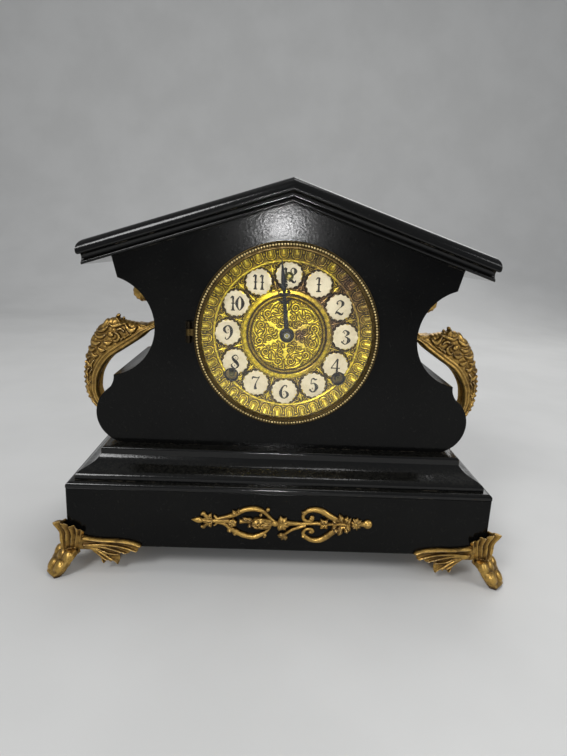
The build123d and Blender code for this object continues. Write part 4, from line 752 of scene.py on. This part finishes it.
# Strokes of the digits as (x, y, half-width), in hundredths of the numerals' height.
DIGITS = {
    "1": [[(0, 3, 10), (0, 50, 7), (0, 97, 10)], [(-22, 82, 2), (-10, 93, 6), (0, 97, 5)],
          [(-17, 3, 3), (0, 5, 6), (17, 3, 3)], [(-15, 50, 1), (0, 50, 7), (15, 50, 1)]],
    "2": [[(-20, 72, 5), (-16, 86, 4), (2, 97, 5), (20, 85, 11), (22, 72, 13), (12, 55, 6), (-10, 33, 3),
           (-24, 12, 4)], [(-16, 74, 9), (-9, 74, 9)],
          [(-27, 5, 3), (-12, 16, 8), (5, 7, 9), (20, 4, 7), (28, 18, 3)]],
    "3": [[(-20, 80, 6), (-5, 96, 4), (15, 86, 10), (19, 75, 12), (2, 58, 4), (-6, 55, 3)],
          [(-4, 55, 3), (18, 43, 9), (25, 27, 15), (12, 6, 6), (-5, 2, 4), (-25, 20, 9)],
          [(-10, 77, 7), (-5, 77, 7)], [(-12, 24, 8), (-6, 24, 8)]],
    "4": [[(12, 98, 5), (-10, 62, 3), (-27, 34, 3)], [(-31, 32, 8), (-10, 31, 3), (20, 31, 3), (31, 31, 9)],
          [(12, 98, 9), (12, 50, 7), (12, 3, 10)]],
    "5": [[(-16, 90, 4), (0, 98, 7), (12, 90, 7), (26, 96, 3)], [(-14, 90, 3), (-16, 58, 3)],
          [(-16, 56, 3), (5, 64, 6), (24, 40, 15), (14, 10, 8), (-5, 2, 5), (-25, 20, 10)],
          [(-8, 26, 7), (-2, 26, 7)]],
    "6": [[(20, 88, 6), (4, 97, 5), (-18, 72, 9), (-25, 40, 14), (-16, 12, 10), (3, 2, 5), (22, 18, 10),
           (23, 36, 12), (5, 55, 5), (-12, 45, 3)], [(13, 85, 7), (18, 86, 7)], [(-5, 30, 5), (0, 30, 5)]],
    "7": [[(-27, 76, 3), (-20, 92, 8), (0, 90, 6), (12, 89, 5), (27, 98, 3)],
          [(24, 95, 3), (5, 60, 5), (-3, 30, 9), (-1, 5, 14)]],
    "8": [[(20, 84, 4), (2, 97, 5), (-18, 82, 8), (-10, 64, 13), (12, 42, 15), (22, 22, 9), (2, 2, 5),
           (-23, 18, 9), (-20, 34, 5), (0, 52, 3), (18, 70, 3), (20, 84, 4)],
          [(3, 78, 5), (6, 78, 5)], [(-5, 22, 6), (-2, 22, 6)]],
    "0": [[(0, 98, 3), (near, 76, 9), (far, 50, 14), (near, 24, 9), (0, 2, 3)]
          for near, far in ((-19, -26), (19, 26))],
}
DIGITS["9"] = [[(-x, 100 - y, w) for x, y, w in line] for line in DIGITS["6"]]
NUMERAL_HEIGHT = 10.4
NUMERAL_PROUD = 0.42
DIGIT_STEP = 4.7
DIGIT_ROWS = 36


def numerals():
    """Upright numerals of thick and thin strokes, standing just proud of the plates."""
    skins = []
    for hour in range(1, 13):
        cx, cy = around(hour)
        text = str(hour)
        slim = 0.78 if len(text) == 2 else 1.0
        for place, digit in enumerate(text):
            dx = (place - (len(text) - 1) / 2) * DIGIT_STEP
            for level, line in enumerate(DIGITS[digit]):
                x, y, half = curve(np.array(line) / 100, DIGIT_ROWS).T
                path = grid(cx + dx + x * NUMERAL_HEIGHT * slim, DIAL_FRONT - NUMERAL_PROUD - 0.006 * level,
                            DIAL_Z + cy + (y - 0.5) * NUMERAL_HEIGHT)
                widths = np.maximum(half, 0.045) * NUMERAL_HEIGHT * 0.9
                widths[[0, -1]] *= 0.5
                skins.append(blade(path, widths, [OUT], 0.07, embed=0.1, rows=DIGIT_ROWS, columns=9))
    make("numerals", join(skins), INK, "case")


BEADS = 196
BEAD_CIRCLE = 62.75
BEAD_DEPTH = -52.1
BEAD_RADIUS = 0.98


def bezel_trim():
    """Beads round the bezel between two fine rings, and an eyelet at each hole of the dial."""

    def ring(radius, depth, size, x=0.0, y=0.0, count=240):
        return ring_skin(round_section(radius, depth, size), (x, DIAL_Z + y), count)

    beads = [ball((BEAD_CIRCLE * cos(turn), BEAD_DEPTH, DIAL_Z + BEAD_CIRCLE * sin(turn)), BEAD_RADIUS)
             for turn in turns(BEADS)]
    make("bezel_beading", join(beads), BEADED, "bezel")
    rings = [ring(64.3, -50.7, 0.55), ring(61.3, -52.45, 0.42)]
    make("bezel_rings", join(rings), ANTIQUE, "bezel")
    make("regulator_eyelet", ring(2.6, -42.95, 0.5, *REGULATOR, 48), TUBE, "case")
    mouths = [ring(4.65, -43.0, 0.55, *place, 72) for place in WINDERS]
    make("winding_eyelets", join(mouths), BRONZE, "case")


HAND_ANGLE = radians(96.0)
HAND_HUB = 5.2
HAND_VOXEL = 0.14
# Half-widths of the blades as (radius, half-width) and the cross-bars as (radius, span).
HOUR_BLADE = [(3.5, 1.6), (12, 1.6), (20, 1.3), (28, 1.2), (33, 0.25)]
HOUR_BARS = [(24.2, 4.8)]
MINUTE_BLADE = [(2.5, 1.5), (14, 1.5), (24, 1.1), (32, 1.1), (38, 1.6), (44, 1.1), (49, 0.6), (52.8, 0.2)]
MINUTE_BARS = [(29.4, 4.4), (34.2, 2.6)]


def hand_skin(blade_line, bars, back, bore):
    """A pierced hand: hub, shaped blade, scrolled cross-bars and a fine point."""
    up = np.array([cos(HAND_ANGLE), 0, sin(HAND_ANGLE)])
    side = np.array([-up[2], 0, up[0]])
    origin = np.array([0, back, DIAL_Z])

    def bar(points, widths):
        path = [origin + r * up + w * side for r, w in points]
        return blade(path, widths, [OUT], 0.42, embed=0.36, rows=36, columns=13)

    hub = [(bore, back), (bore, back - 0.9), (HAND_HUB - 1.3, back - 1.0), (HAND_HUB - 0.3, back - 0.7),
           (HAND_HUB, back - 0.3), (HAND_HUB, back)]
    skins = [ring_skin(hub, (0, DIAL_Z), 72),
             bar([(r, 0) for r, half in blade_line], [half for r, half in blade_line])]
    for r, span in bars:
        for tip in (-span, span):
            scroll = [(r - 0.7, 0), (r - 0.2, tip * 0.55), (r + 0.6, tip * 0.9), (r + 1.5, tip * 0.78),
                      (r + 1.3, tip * 0.5)]
            spur = [(r - 0.5, 0), (r - 1.2, tip * 0.36), (r - 1.1, tip * 0.6)]
            skins += [bar(scroll, [0.8, 0.6, 0.55, 0.45, 0.3]), bar(spur, [0.6, 0.5, 0.3])]
    return cast(join(skins), HAND_VOXEL, 2)


def hands():
    """Both hands, nearly in line."""
    hour = hand_skin(HOUR_BLADE, HOUR_BARS, -44.0, 2.9)
    make("hour_hand_cast", hour, BLACKED, "hour_group", ["hour_hand"])
    minute = hand_skin(MINUTE_BLADE, MINUTE_BARS, -45.6, 1.9)
    make("minute_hand_cast", minute, BLACKED, "minute_group", ["minute_hand"])


# Handles. Their lines are (x, z) from the waist of the case's side.

WAIST = np.array([93.1, 10.5, 172.6])
HANDLE_HALF = 8.0
HANDLE_WALL = 2.4
HANDLE_VOXEL = 0.45
STRAP_CENTRE = WAIST + (35.5, 0, 0)
STRAP_RADIUS = 34.3
HANDLE_OUTER = [
    (-3, 10), (2.8, 8.6), (6.6, 2.2), (14, -4), (24, -4.8), (37, -2.6), (42, -1.6), (47.5, -2.9),
    (53.6, -7.8), (60.2, -17), (63.2, -25.6), (65.4, -33.2), (67.2, -41), (67.7, -48), (66.9, -60),
    (64.2, -68.2), (59.4, -76), (53, -81.5), (43, -83.5), (33, -77)]
HANDLE_INNER = [
    (-3, -0.4), (6.9, -6), (15.2, -10.4), (21.4, -16), (30, -22), (37.8, -27.2), (45.2, -32.2), (50.8, -38.6),
    (55, -46.4), (56.6, -53.5), (56.8, -62.1), (53, -70.5), (44, -76), (33, -77)]
HANDLE_LEAVES = [
    [(24, -8, 0.8), (28, -10.8, 2), (31, -9, 1.6), (33, -6, 0.8)],
    [(41.5, -12.5, 0.7), (38.6, -14, 1.2), (38.2, -17, 1.4), (40.5, -19.4, 1.2), (42.6, -18.6, 0.7)],
    [(43.2, -14.8, 1.2), (44.6, -14.2, 2.2), (46.2, -13.4, 1)],
    [(44.4, -20.6, 1), (47.2, -21.8, 1.7), (50, -20.6, 0.9)],
    [(49.8, -27, 1), (52.3, -27.4, 1.7), (54.6, -25.6, 1)],
    [(55.4, -31.6, 0.9), (58, -32.6, 1.6), (60, -30.4, 0.9)],
    [(59.6, -37.6, 0.8), (62.2, -40, 1.4), (63.8, -37.4, 0.9)],
    [(63, -42.6, 0.7), (64.6, -46, 1.2), (64, -49.4, 0.7)],
    [(64.4, -50, 0.6), (64.4, -53, 1.1), (63.2, -56, 0.6)],
    [(64.6, -58, 0.6), (63.6, -62, 1.2), (61.4, -66, 0.7)],
    [(61.5, -67.5, 0.7), (58.6, -71.6, 1.2), (55, -74.4, 0.7)],
    [(33, -5.4, 0.8), (38, -6.6, 1.5), (42.6, -8, 1.2), (46, -6.4, 0.7)],
    [(47, -8.5, 0.8), (50.4, -11.3, 1.5), (54, -12.6, 1), (56.6, -11.6, 0.6)],
    [(34, -11.6, 0.8), (36.4, -9.6, 1.2), (39.4, -10.4, 1)],
    [(49, -15, 0.8), (52.6, -17, 1.5), (56.4, -16.6, 1), (58.6, -14.6, 0.6)],
    [(53, -21, 0.8), (57, -22.6, 1.5), (60.4, -21, 0.8)],
    [(57.6, -26.6, 0.8), (61, -28, 1.4), (63.4, -26, 0.7)],
    [(61.6, -33, 0.7), (64.6, -34.6, 1.3), (66, -32, 0.6)],
    [(34, -15.6, 0.6), (36, -17.6, 1), (36.2, -20, 0.6)],
    [(27, -13.6, 0.6), (31, -14.4, 1), (33.6, -17, 0.6)],
    [(17, -6.2, 0.5), (20, -6.6, 1), (23, -5.4, 0.6)],
    [(58.4, -35.6, 0.6), (60.2, -38.4, 1), (60.4, -42, 0.5)],
    [(60.6, -43.5, 0.6), (61.6, -46.5, 1.1), (61, -49.5, 0.5)],
    [(61.4, -51, 0.5), (61.8, -54, 1), (61, -57, 0.5)],
    [(61.2, -58.5, 0.5), (60.6, -62, 1), (59, -65, 0.5)]]
HANDLE_LEAVES += [[(x, z - 1.0, 0.6), (x + 0.3, z, 1.0), (x, z + 1.0, 0.6)] for z, x in zip(
    range(-38, -67, -4), (65.4, 65.9, 66.2, 66.3, 66.0, 65.5, 64.7, 63.5))]


def even(points, count):
    """Points evenly spaced along a smooth line."""
    line = curve(points, 600)
    run = np.concatenate([[0], np.cumsum(np.linalg.norm(np.diff(line, axis=0), axis=1))])
    want = np.linspace(0, run[-1], count)
    return np.stack([np.interp(want, run, line[:, k]) for k in range(line.shape[1])], -1)


def handle_skin():
    """A cast channel: smooth double rim along the hollow side, acanthus relief round its back."""
    rows, columns = 460, 160
    inner, outer = even(HANDLE_INNER, rows), even(HANDLE_OUTER, rows)
    s = np.linspace(0, 1, rows)
    reach = outer - inner
    square = unit(np.stack([-np.gradient(inner[:, 1]), np.gradient(inner[:, 0])], -1))
    way = unit(reach + square * 0.02)[:, None]
    knob = bell(outer[:, 0], 40, 1.6) * (outer[:, 1] > -5)
    scallops = np.where((s > 0.34) & (s < 0.92), 0.7 * np.abs(np.sin(pi * 16 * s)), 0)
    depth = (np.maximum(np.linalg.norm(reach, axis=1), 3.0) + 2.6 * knob + scallops)[:, None]
    turn = np.linspace(-pi / 2, pi / 2, columns)
    side = np.sign(turn) * np.abs(np.sin(turn)) ** 0.8
    rise = depth * np.cos(turn) ** 0.85
    flat = inner[:, None] + way * rise[..., None]
    band = np.minimum(5.6, 0.45 * depth)
    on = smooth(rise, band, band + 0.8) * smooth(s, 0.05, 0.14)[:, None]
    gap = nearest(flat[..., 0], flat[..., 1], [curve(line, 18) for line in HANDLE_LEAVES])
    leaves = 2.0 * dome(-gap / 1.1) - 0.5 * bell(gap, -1.25, 0.25)
    frond = 0.5 * np.abs(np.sin(flat[..., 0] * 0.9 + flat[..., 1] * 0.5)) * smooth(gap, 0.2, 1.2)
    rim = bell(rise, 0.26 * band, 0.17 * band) + 0.9 * bell(rise, 0.76 * band, 0.15 * band)
    relief = np.maximum(leaves, frond) * on + 0.9 * rim
    lean = unit(grid(np.cos(turn) / depth, np.sin(turn) / HANDLE_HALF)) * relief[..., None]
    face = flat + way * lean[..., :1]
    top = WAIST + grid(face[..., 0], HANDLE_HALF * side + lean[..., 1], face[..., 1])
    deep = np.maximum(rise - HANDLE_WALL * (0.35 + 0.65 * np.cos(turn)), -1.2)
    hollow = inner[:, None] + way * deep[..., None]
    return shell(top, WAIST + grid(hollow[..., 0], (HANDLE_HALF - HANDLE_WALL) * side, hollow[..., 1]))


def handle_band():
    """The strap in the scoop that ends in a leaf curl, and two beads on the handle's back."""
    turn = np.radians(np.linspace(205, 122, 40))
    toward = grid(-np.cos(turn), 0.0, -np.sin(turn))
    strap = blade(STRAP_CENTRE - STRAP_RADIUS * toward, [HANDLE_HALF] * 6, toward, 2.2, embed=1.0, flutes=3,
                  flute_depth=0.35, rows=60)
    curl = pod(WAIST + (20.8, 0, 19.0), (0, 1, 0), 8.4, 7.8, (0.62, 0, -0.78), 6.0, embed=5.0, flutes=4,
               flute_depth=0.45)
    beads = [ball(WAIST + (x, 0, z), size) for x, z, size in ((40.0, 0.2, 1.7), (36.0, -1.6, 1.2))]
    return join([strap, curl] + beads)


def handles():
    """The right handle and its mirror image."""
    skin = cast(join([handle_skin(), handle_band()]), HANDLE_VOXEL, 1)
    make("handle_cast_right", skin, GILT, "case", ["handle_right"])
    make("handle_cast_left", mirrored(skin, (-1, 1, 1)), GILT, "case", ["handle_left"])


# Feet. A wing's lines are (distance from the corner, z), with a half-width for each rib.

CORNER = np.array([150.0, -75.0, 0.0])
PLINTH_UNDER = 19.0
PAD_UNDER = 16.0
PAD_SIZE = 44.8
PAD_INSET = 21.4
FAN_FOOT = 13.0
FOOT_VOXEL = 0.42
WING_STEP = 0.36
WING_EDGE = [
    (8, 29), (15.3, 26.6), (24, 25.6), (34, 25.4), (43.6, 24.5), (49.6, 22.8), (52.3, 21), (51.9, 19),
    (50.2, 18.2), (49.8, 16.2), (48.4, 15), (46.2, 15.8), (44.5, 15.2), (42.8, 13.6), (40.6, 13.4),
    (38.4, 14.4), (37, 13.2), (36.8, 9), (35.6, 5.2), (33.6, 6.6), (31.6, 8), (30.4, 6.8), (28.6, 8.2),
    (27, 7.4), (25.2, 5.6), (23.6, 7.8), (22.6, 10.6), (19.2, 14.2), (15.8, 16.8), (12.4, 17.4), (8, 16),
    (0, 12), (0, 30)]
WING_RIBS = [
    ([(12, 25.5), (24, 24.4), (36, 24), (46, 22.6), (51.5, 20.6)], 1.5),
    ([(12, 20.5), (24, 21.2), (36, 20.2), (44, 18), (48.6, 16)], 1.1),
    ([(13, 20), (24, 19.4), (33, 17.4), (41, 14.4)], 1.1),
    ([(13, 19.5), (22, 17.6), (29, 14.6), (37, 13.6)], 0.9),
    ([(13, 19), (21, 16.6), (28, 12), (35, 6)], 1.3),
    ([(13, 18.6), (19.5, 15.6), (25, 11), (30.5, 7.2)], 1.1),
    ([(13, 18), (18, 15), (22, 11), (25.3, 6.2)], 1.2)]
# Top of the fan as (share from the corner to its outer lobe, z), and the toe as (distance, z).
FAN_TOP = ((0, 40.2), (0.12, 40), (0.28, 38.6), (0.38, 36.2), (0.46, 36.4), (0.58, 36.6), (0.68, 35),
           (0.74, 33), (0.82, 33.4), (0.92, 32.8), (1, 30.6))
TOE = ((-2.5, 17), (2, 15.4), (6.4, 11), (10.6, 5.6), (14, 1.6))
TOE_UP = [(0.5, -0.5, 1), (0.6, -0.6, 0.9), (1, -1, 0.7), (1, -1, 0.8), (0.8, -0.8, 1)]
SOLE = ((-6, 15.5), (0, 13), (7, 6), (12, 1.4), (13.8, 0.9))
KNUCKLES = ((3.8, -6.2, 4.6), (4.6, 0.2, 4.6), (3.8, 6.2, 4.6), (9.4, -4.2, 5), (10.2, 3.4, 5))


def within(ring, x, y):
    """Which points lie inside a closed ring of corners."""
    hit = np.zeros(x.shape, bool)
    for (ax, ay), (bx, by) in zip(ring, np.roll(ring, -1, axis=0)):
        if ay != by:
            hit ^= ((ay > y) != (by > y)) & (x < (bx - ax) * (y - ay) / (by - ay) + ax)
    return hit


def wing_skin():
    """One wing of a foot, running left from the corner: a scalloped web with rounded edges and ribs."""
    ring = curve(WING_EDGE + WING_EDGE[:1], 300)
    u, z = np.meshgrid(np.arange(-WING_STEP, 54, WING_STEP), np.arange(4, 31, WING_STEP), indexing="ij")
    edge = nearest(u, z, [np.column_stack([ring, np.zeros(300)])])
    ribs = nearest(u, z, [np.column_stack([curve(line, 40), np.full(40, half)]) for line, half in WING_RIBS])
    high = dome(edge / 1.4) * (1.3 + 2.0 * dome(-ribs))
    faces = quads(*u.shape)
    faces = faces[within(ring[:-1], u, z).ravel()[faces].all(1)]
    return slab(grid(-u, -high - 0.25, z), grid(-u, 0.15, z), faces)


def fan_skin():
    """The fluted fan on one face of a foot, from the corner's diagonal to its outer lobe."""
    across, rise = np.meshgrid(np.linspace(0, 1, 61), np.linspace(0, 1, 46), indexing="ij")
    z = FAN_FOOT + rise * (np.interp(across, *zip(*FAN_TOP)) - FAN_FOOT)
    flute = np.cos(tau * 4.5 * across) * smooth(rise, 0.0, 0.5)
    flare = smooth(rise, 0.6, 1.05) * (1 - 0.3 * across)
    lift = 1.6 + 1.9 * (1 - across) ** 2 + 3.4 * flare + 0.85 * flute - 0.5 * across
    reach = np.interp(z, [13, 22, 28, 33], [8.0, 9.8, 11.4, 13.4])
    u = -lift + across * (reach + lift)
    back = grid(-u - np.where(across == 0, 1.6, 0), -np.maximum(lift - 1.6, -0.1), z - 0.8 * rise)
    return slab(grid(-u, -lift, z), back, quads(*u.shape))


def foot_skin():
    """The front right foot: a fan round the corner, a ribbed wing along each face and a knuckled toe."""
    skins = []
    for points, faces in (wing_skin(), fan_skin()):
        skins.append((points, faces))
        skins.append((points[:, [1, 0, 2]] * (-1, -1, 1), faces[:, ::-1]))
    out, along = (np.array([1, way, 0]) / sqrt(2) for way in (-1, 1))

    def ray(d, z, w=0.0):
        return out * d + along * w + np.array([0, 0, z])

    skins.append(blade([ray(*p) for p in TOE], [7.5, 9.6, 9.4, 7.8, 5.4], TOE_UP, 1.4, thick=3.4))
    for d, w, size in KNUCKLES:
        z = np.interp(d, *zip(*TOE)) + 0.5
        skins.append(pod(ray(d, z, w), ray(0.55, -0.84), size, 0.78 * size, (1, -1, 0.8), 2.5, embed=1.0))
    skins.append(blade([ray(*p) for p in SOLE], [5.0, 6.0, 6.6, 5.8, 4.2], [(0.4, -0.4, 1)], 1.4, thick=3.0))
    points, faces = join(skins)
    points = points + CORNER
    points[:, 2] = np.maximum(points[:, 2], 0.0)
    sunk = (points[:, 2] > PLINTH_UNDER - 0.2) & (points[:, 1] > CORNER[1] + 0.2)
    points[sunk, 0] = np.maximum(points[sunk, 0], CORNER[0] - 0.15)
    square = CORNER + np.array([[-1, -1, 0], [1, -1, 0], [1, 1, 0], [-1, 1, 0]]) * PAD_SIZE / 2
    square = square + (-PAD_INSET, PAD_INSET, 0)
    pad = tube(np.stack([square + (0, 0, z) for z in (PAD_UNDER, PLINTH_UNDER)]))
    return join([(points, faces), pad])


def feet():
    """Four feet from one."""
    skin = cast(foot_skin(), FOOT_VOXEL, 1)
    for end, sx in (("right", 1), ("left", -1)):
        for face, sy in (("front", 1), ("back", -1)):
            make(f"foot_cast_{face}_{end}", mirrored(skin, (sx, sy, 1)), GILT, "case",
                 [f"foot_{face}_{end}"])


# Plinth ornament. Its bars are (x, z, half-width) rows from its middle.

ORNAMENT = np.array([0.0, -75.0, 42.0])
ORNAMENT_VOXEL = 0.28
BAR_WIDTH = 1.3
BAR_CROWN = 1.25
KNOB_SIZE = 1.15
CAGE_TOP = [(-43.9, 1.3, 1.1), (-37.5, 3, 1.2), (-31.9, 5.1, 1.5), (-25.5, 8.6, 1.4), (-18.9, 9.9, 1.5),
            (-14, 9, 1.4), (-10.5, 6.8, 1.2), (-6.5, 2.6, 1.1), (-2.7, -0.2, 0.9)]
CAGE_FOOT = [(-43.9, -1.3, 1.1), (-38.5, -2.6, 1.3), (-33.7, -6.5, 1.8), (-27, -10.2, 1.7), (-18.9, -12, 1.7),
             (-13.3, -10.1, 1.5), (-9.2, -7, 1.1), (-6, -3.4, 0.7)]
VOLUTE_TOP = [(49.7, 0.9, 1.1), (43, 2.4, 1.4), (35.8, 5.5, 1.8), (30, 9.2, 1.8), (24.7, 10.5, 1.6),
              (19.6, 9.4, 1.4), (16.6, 6.2, 1.2), (17, 2.9, 1.1), (20, 1.5, 1), (23, 2.6, 0.9),
              (23.4, 4.8, 0.8), (21.6, 5.4, 0.6)]
VOLUTE_FOOT = [(49.7, -1.3, 1.1), (44, -3.2, 1.4), (38.6, -6, 1.8), (34, -10, 1.8), (29.3, -12.9, 1.7),
               (24, -13.2, 1.5), (19.6, -11.4, 1.4), (17, -8, 1.2), (18.4, -5, 1.1), (22, -4.4, 1),
               (24, -6.4, 0.9), (22.4, -8.2, 0.6)]


def ornament():
    """Scrolled mount: bud, cage of two bars round a pod, leaf knot, two volutes and a rosette."""
    skins = []

    def bar(line, crown, lift=0.3, **more):
        path = [ORNAMENT + (x, -lift, z) for x, z, half in line]
        widths = [BAR_WIDTH * half for x, z, half in line]
        skins.append(blade(path, widths, [OUT], BAR_CROWN * crown, embed=lift, **more))

    def knob(x, z, size, crown):
        size = KNOB_SIZE * size
        skins.append(pod(ORNAMENT + (x, -0.2, z), (1, 0, 0), size, size, OUT, crown, embed=0.2))

    def leaf(x, z, angle, length, half, crown=1.6, lift=0.8):
        dx, dz = length * cos(radians(angle)), length * sin(radians(angle))
        line = [(x, z, half * 0.6), (x + dx * 0.5, z + dz * 0.5, half), (x + dx, z + dz, half * 0.1)]
        bar(line, crown, lift, flutes=2, flute_depth=0.25)

    # Bud and its collar
    bar([(-62.5, 0, 0.25), (-59, 0, 1.5), (-56, 0, 1.9), (-53.5, 0, 0.9)], 2)
    bar([(-56, 0, 1.1), (-53, 0, 1.7), (-50, 0, 2.2), (-47.8, 0, 2.5)], 2.2, flutes=3, flute_depth=0.45)
    for way in (-1, 1):
        bar([(-49.5, way * 1.4, 1), (-52.4, way * 3.4, 1.2), (-53.8, way * 5.2, 1.1),
             (-55.4, way * 4.8, 0.8)], 1.8)
        knob(-54.8, way * 4.7, 1.2, 2.4)
        leaf(-50.2, way * 1.8, way * 62, 4.2, 1.2)
        bar([(-44.2, way * 0.6, 0.9), (-45.2, way * 2.4, 1), (-46.4, way * 3.4, 0.6)], 1.6)
        knob(-46.2, way * 3.4, 0.9, 2)
    # Cage and the flower in it
    bar([(-48, 0, 1.5), (-42, 0, 1.3), (-36, 0, 1.5)], 1.9)
    bar(CAGE_TOP, 2, rows=80)
    bar(CAGE_FOOT, 2, rows=120, lobes=10, lobe_depth=0.16)
    for k in range(6):
        leaf(-33.6, -1.2, 60 * k + 20, 3.8, 1.5, 1.7, 1.3)
    knob(-33.6, -1.2, 1.3, 3.6)
    for x, z, angle, length, half in ((-31, 4.6, 125, 4.6, 1.5), (-29.6, 6, 80, 3.6, 1.2),
                                      (-33.5, -6.4, 200, 4.2, 1.6), (-31, -8.2, 250, 3.4, 1.3)):
        leaf(x, z, angle, length, half, 2)
    for x, z, angle in ((-9.6, 8, 60), (-10.6, -9, -70), (-13, 6.6, 250)):
        leaf(x, z, angle, 3, 1.1)
    knob(-8.6, 9.6, 1.3, 2)
    knob(-10.6, -11.6, 1.1, 1.8)
    # Pod
    bar([(-28.5, 0, 1.6), (-24, 0, 1.2), (-20.5, -0.4, 1.4)], 1.9)
    leaf(-22.5, 0.6, 150, 4.6, 1.3)
    skins.append(pod(ORNAMENT + (-12.6, -0.3, -1), (1, 0, -0.06), 8.4, 4.7, OUT, 3.6, embed=0.3, flutes=5,
                     flute_depth=0.5))
    for x, z, angle in ((-19.4, -0.6, 24), (-19.4, -1.4, -30), (-16, -1, 30), (-16, -1.4, -32),
                        (-13.4, -1.2, 0), (-18.4, -1, 0)):
        leaf(x, z, angle, 6.4, 1.3, 1.7, 2.4)
    leaf(-19.8, 0.6, 150, 4, 1.2)
    leaf(-19.8, -2.6, 210, 3.6, 1.2)
    # Leaf knot and its spray
    bar([(-5.5, -1, 1.5), (-3.2, -1, 2), (-1, -1, 1.5)], 2.2)
    for angle in (55, 20, -20, -60, 100, -110):
        leaf(1.4, -1, angle, 6, 1.8, 1.9, 1)
    knob(1.6, -1, 2.4, 2.8)
    bar([(5.5, -0.6, 1.7), (12, -0.8, 1.2), (19, -0.4, 1.1), (27.5, 0.2, 1.2)], 1.9)
    bar([(18.6, -1.6, 1), (13.5, -3.4, 1.1), (8.6, -5.4, 1.1), (4.4, -8.6, 1), (1.2, -11.6, 0.9)], 1.8)
    for angle in (-115, -75, 190, -150):
        leaf(3.6, -9.4, angle, 5, 1.5)
    # Volutes
    bar(VOLUTE_TOP, 2, rows=110)
    bar(VOLUTE_FOOT, 2, rows=110)
    knob(21.9, 3.6, 1.3, 2.4)
    knob(22, -6.6, 1.3, 2.4)
    leaf(17.6, 7, 150, 3.2, 1.2)
    leaf(18.2, -9.4, 215, 3.2, 1.2)
    bar([(27, 0, 1.3), (33, -0.2, 1.3), (40, -0.2, 1.2), (50, 0, 1.6)], 1.9)
    for x, angle in ((31, 50), (31, -50), (31.6, 125), (31.6, -125)):
        leaf(x, 0, angle, 5, 1.3, 2, 1.2)
    knob(31.2, 0, 1.1, 3)
    for x, z, angle, length in ((44.5, 2, 115, 6.2), (46.5, 1.8, 70, 4.6), (44, -3, -110, 6.4),
                                (46.8, -2.4, -70, 5), (41.6, -3.6, -135, 4.4)):
        leaf(x, z, angle, length, 1.6, 2.2, 1.2)
    for way in (-1, 1):
        leaf(47.5, way * 0.8, way * 55, 5.2, 1.4, 2.2, 1.2)
        leaf(40.2, way * 1, way * 140, 4.6, 1.2, 2, 1)
    # Rosette and end ball
    for k in range(9):
        leaf(54.3, 0.3, 40 * k, 4.9, 1.5, 1.7, 0.7)
    knob(54.3, 0.3, 1.6, 3)
    knob(62.6, 0.3, 3.1, 2.8)
    knob(62.6, 0.3, 1.4, 3.4)
    bar([(57.5, 0.3, 1.5), (60.5, 0.3, 1.5)], 1.8)
    # Pins
    for x in (-40, 12, 54):
        path = [ORNAMENT + (x, y, 0) for y in (-0.8, 4, 8)]
        skins.append(blade(path, [0.6, 0.6, 0.5], [(0, 0, 1)], 0.6, embed=0.6))
    skin = cast(join(skins), ORNAMENT_VOXEL, 1)
    make("ornament_cast", skin, GILT, "case", ["base_ornament"])


dial_face()
dial_middle()
plates()
numerals()
bezel_trim()
hands()
handles()
feet()
ornament()


# Stage, light and camera, in metres

def backdrop():
    """A pale floor that sweeps up into a pale wall."""
    bend, wall, reach = 0.7, 1.9, 3.2
    profile = [(-3.0, 0.0), (0.0, 0.0), (wall - bend, 0.0)]
    profile += [(wall - bend + bend * sin(t), bend - bend * cos(t))
                for t in np.linspace(0, pi / 2, 24)[1:]]
    profile += [(wall, 3.0)]
    points = [(x, y, z) for y, z in profile for x in (-reach, reach)]
    mesh = mesh_of("backdrop", points, quads(len(profile), 2)[:, ::-1])
    p = Paint("pale_paper")
    tone = p.mix(p.fit(p.noise(6, 3), 0.3, 0.7), (0.60, 0.60, 0.59), (0.64, 0.64, 0.63))
    mesh.materials.append(p.finish(tone, 0.8, Specular_IOR_Level=0.2))
    sweep = put("backdrop", mesh)


def lamp(name, place, target, size, power):
    """A soft square lamp."""
    light = bpy.data.lights.new(name, "AREA")
    light.size = size
    light.energy = power
    holder = put(name, light)
    holder.location = place
    holder.rotation_euler = (Vector(target) - Vector(place)).to_track_quat("-Z", "Y").to_euler()


def surroundings():
    """An even pale surround."""
    world = bpy.data.worlds.new("surround")
    bpy.context.scene.world = world
    world.use_nodes = True
    glow = world.node_tree.nodes["Background"]
    glow.inputs["Color"].default_value = (0.92, 0.95, 1.0, 1)
    glow.inputs["Strength"].default_value = 0.27


def viewpoint():
    """The camera at the photograph's place."""
    data = bpy.data.cameras.new("viewpoint")
    data.lens = 25.95
    data.sensor_width = 36.0
    data.sensor_fit = "AUTO"
    data.clip_start = 0.01
    right = Vector((0.99890226, -0.01871351, 0.04294284))
    up = Vector((-0.03729336, 0.23703777, 0.97078437))
    back = Vector((-0.02834586, -0.97132018, 0.23607967))
    turn = Matrix((right, up, back)).transposed().to_4x4()
    camera = put("viewpoint", data)
    camera.matrix_world = Matrix.Translation(Vector((-12.12, -427.0, 232.6)) * MM) @ turn
    bpy.context.scene.camera = camera


backdrop()
surroundings()
lamp("key", (-0.9, -1.3, 1.5), (0, 0, 0.13), 0.6, 15.5)
lamp("fill", (1.3, -0.9, 0.9), (0, 0, 0.12), 0.7, 6.0)
lamp("top", (0.1, 0.2, 1.7), (0, 0, 0.1), 0.7, 8.0)
lamp("near", (0.005, -0.70, 0.264), (0, -0.05, 0.2), 0.035, 1.0)
lamp("rear", (0.6, 1.2, 1.0), (0, 0, 0.15), 0.9, 6.0)
viewpoint()
bpy.context.scene.view_settings.view_transform = "Standard"
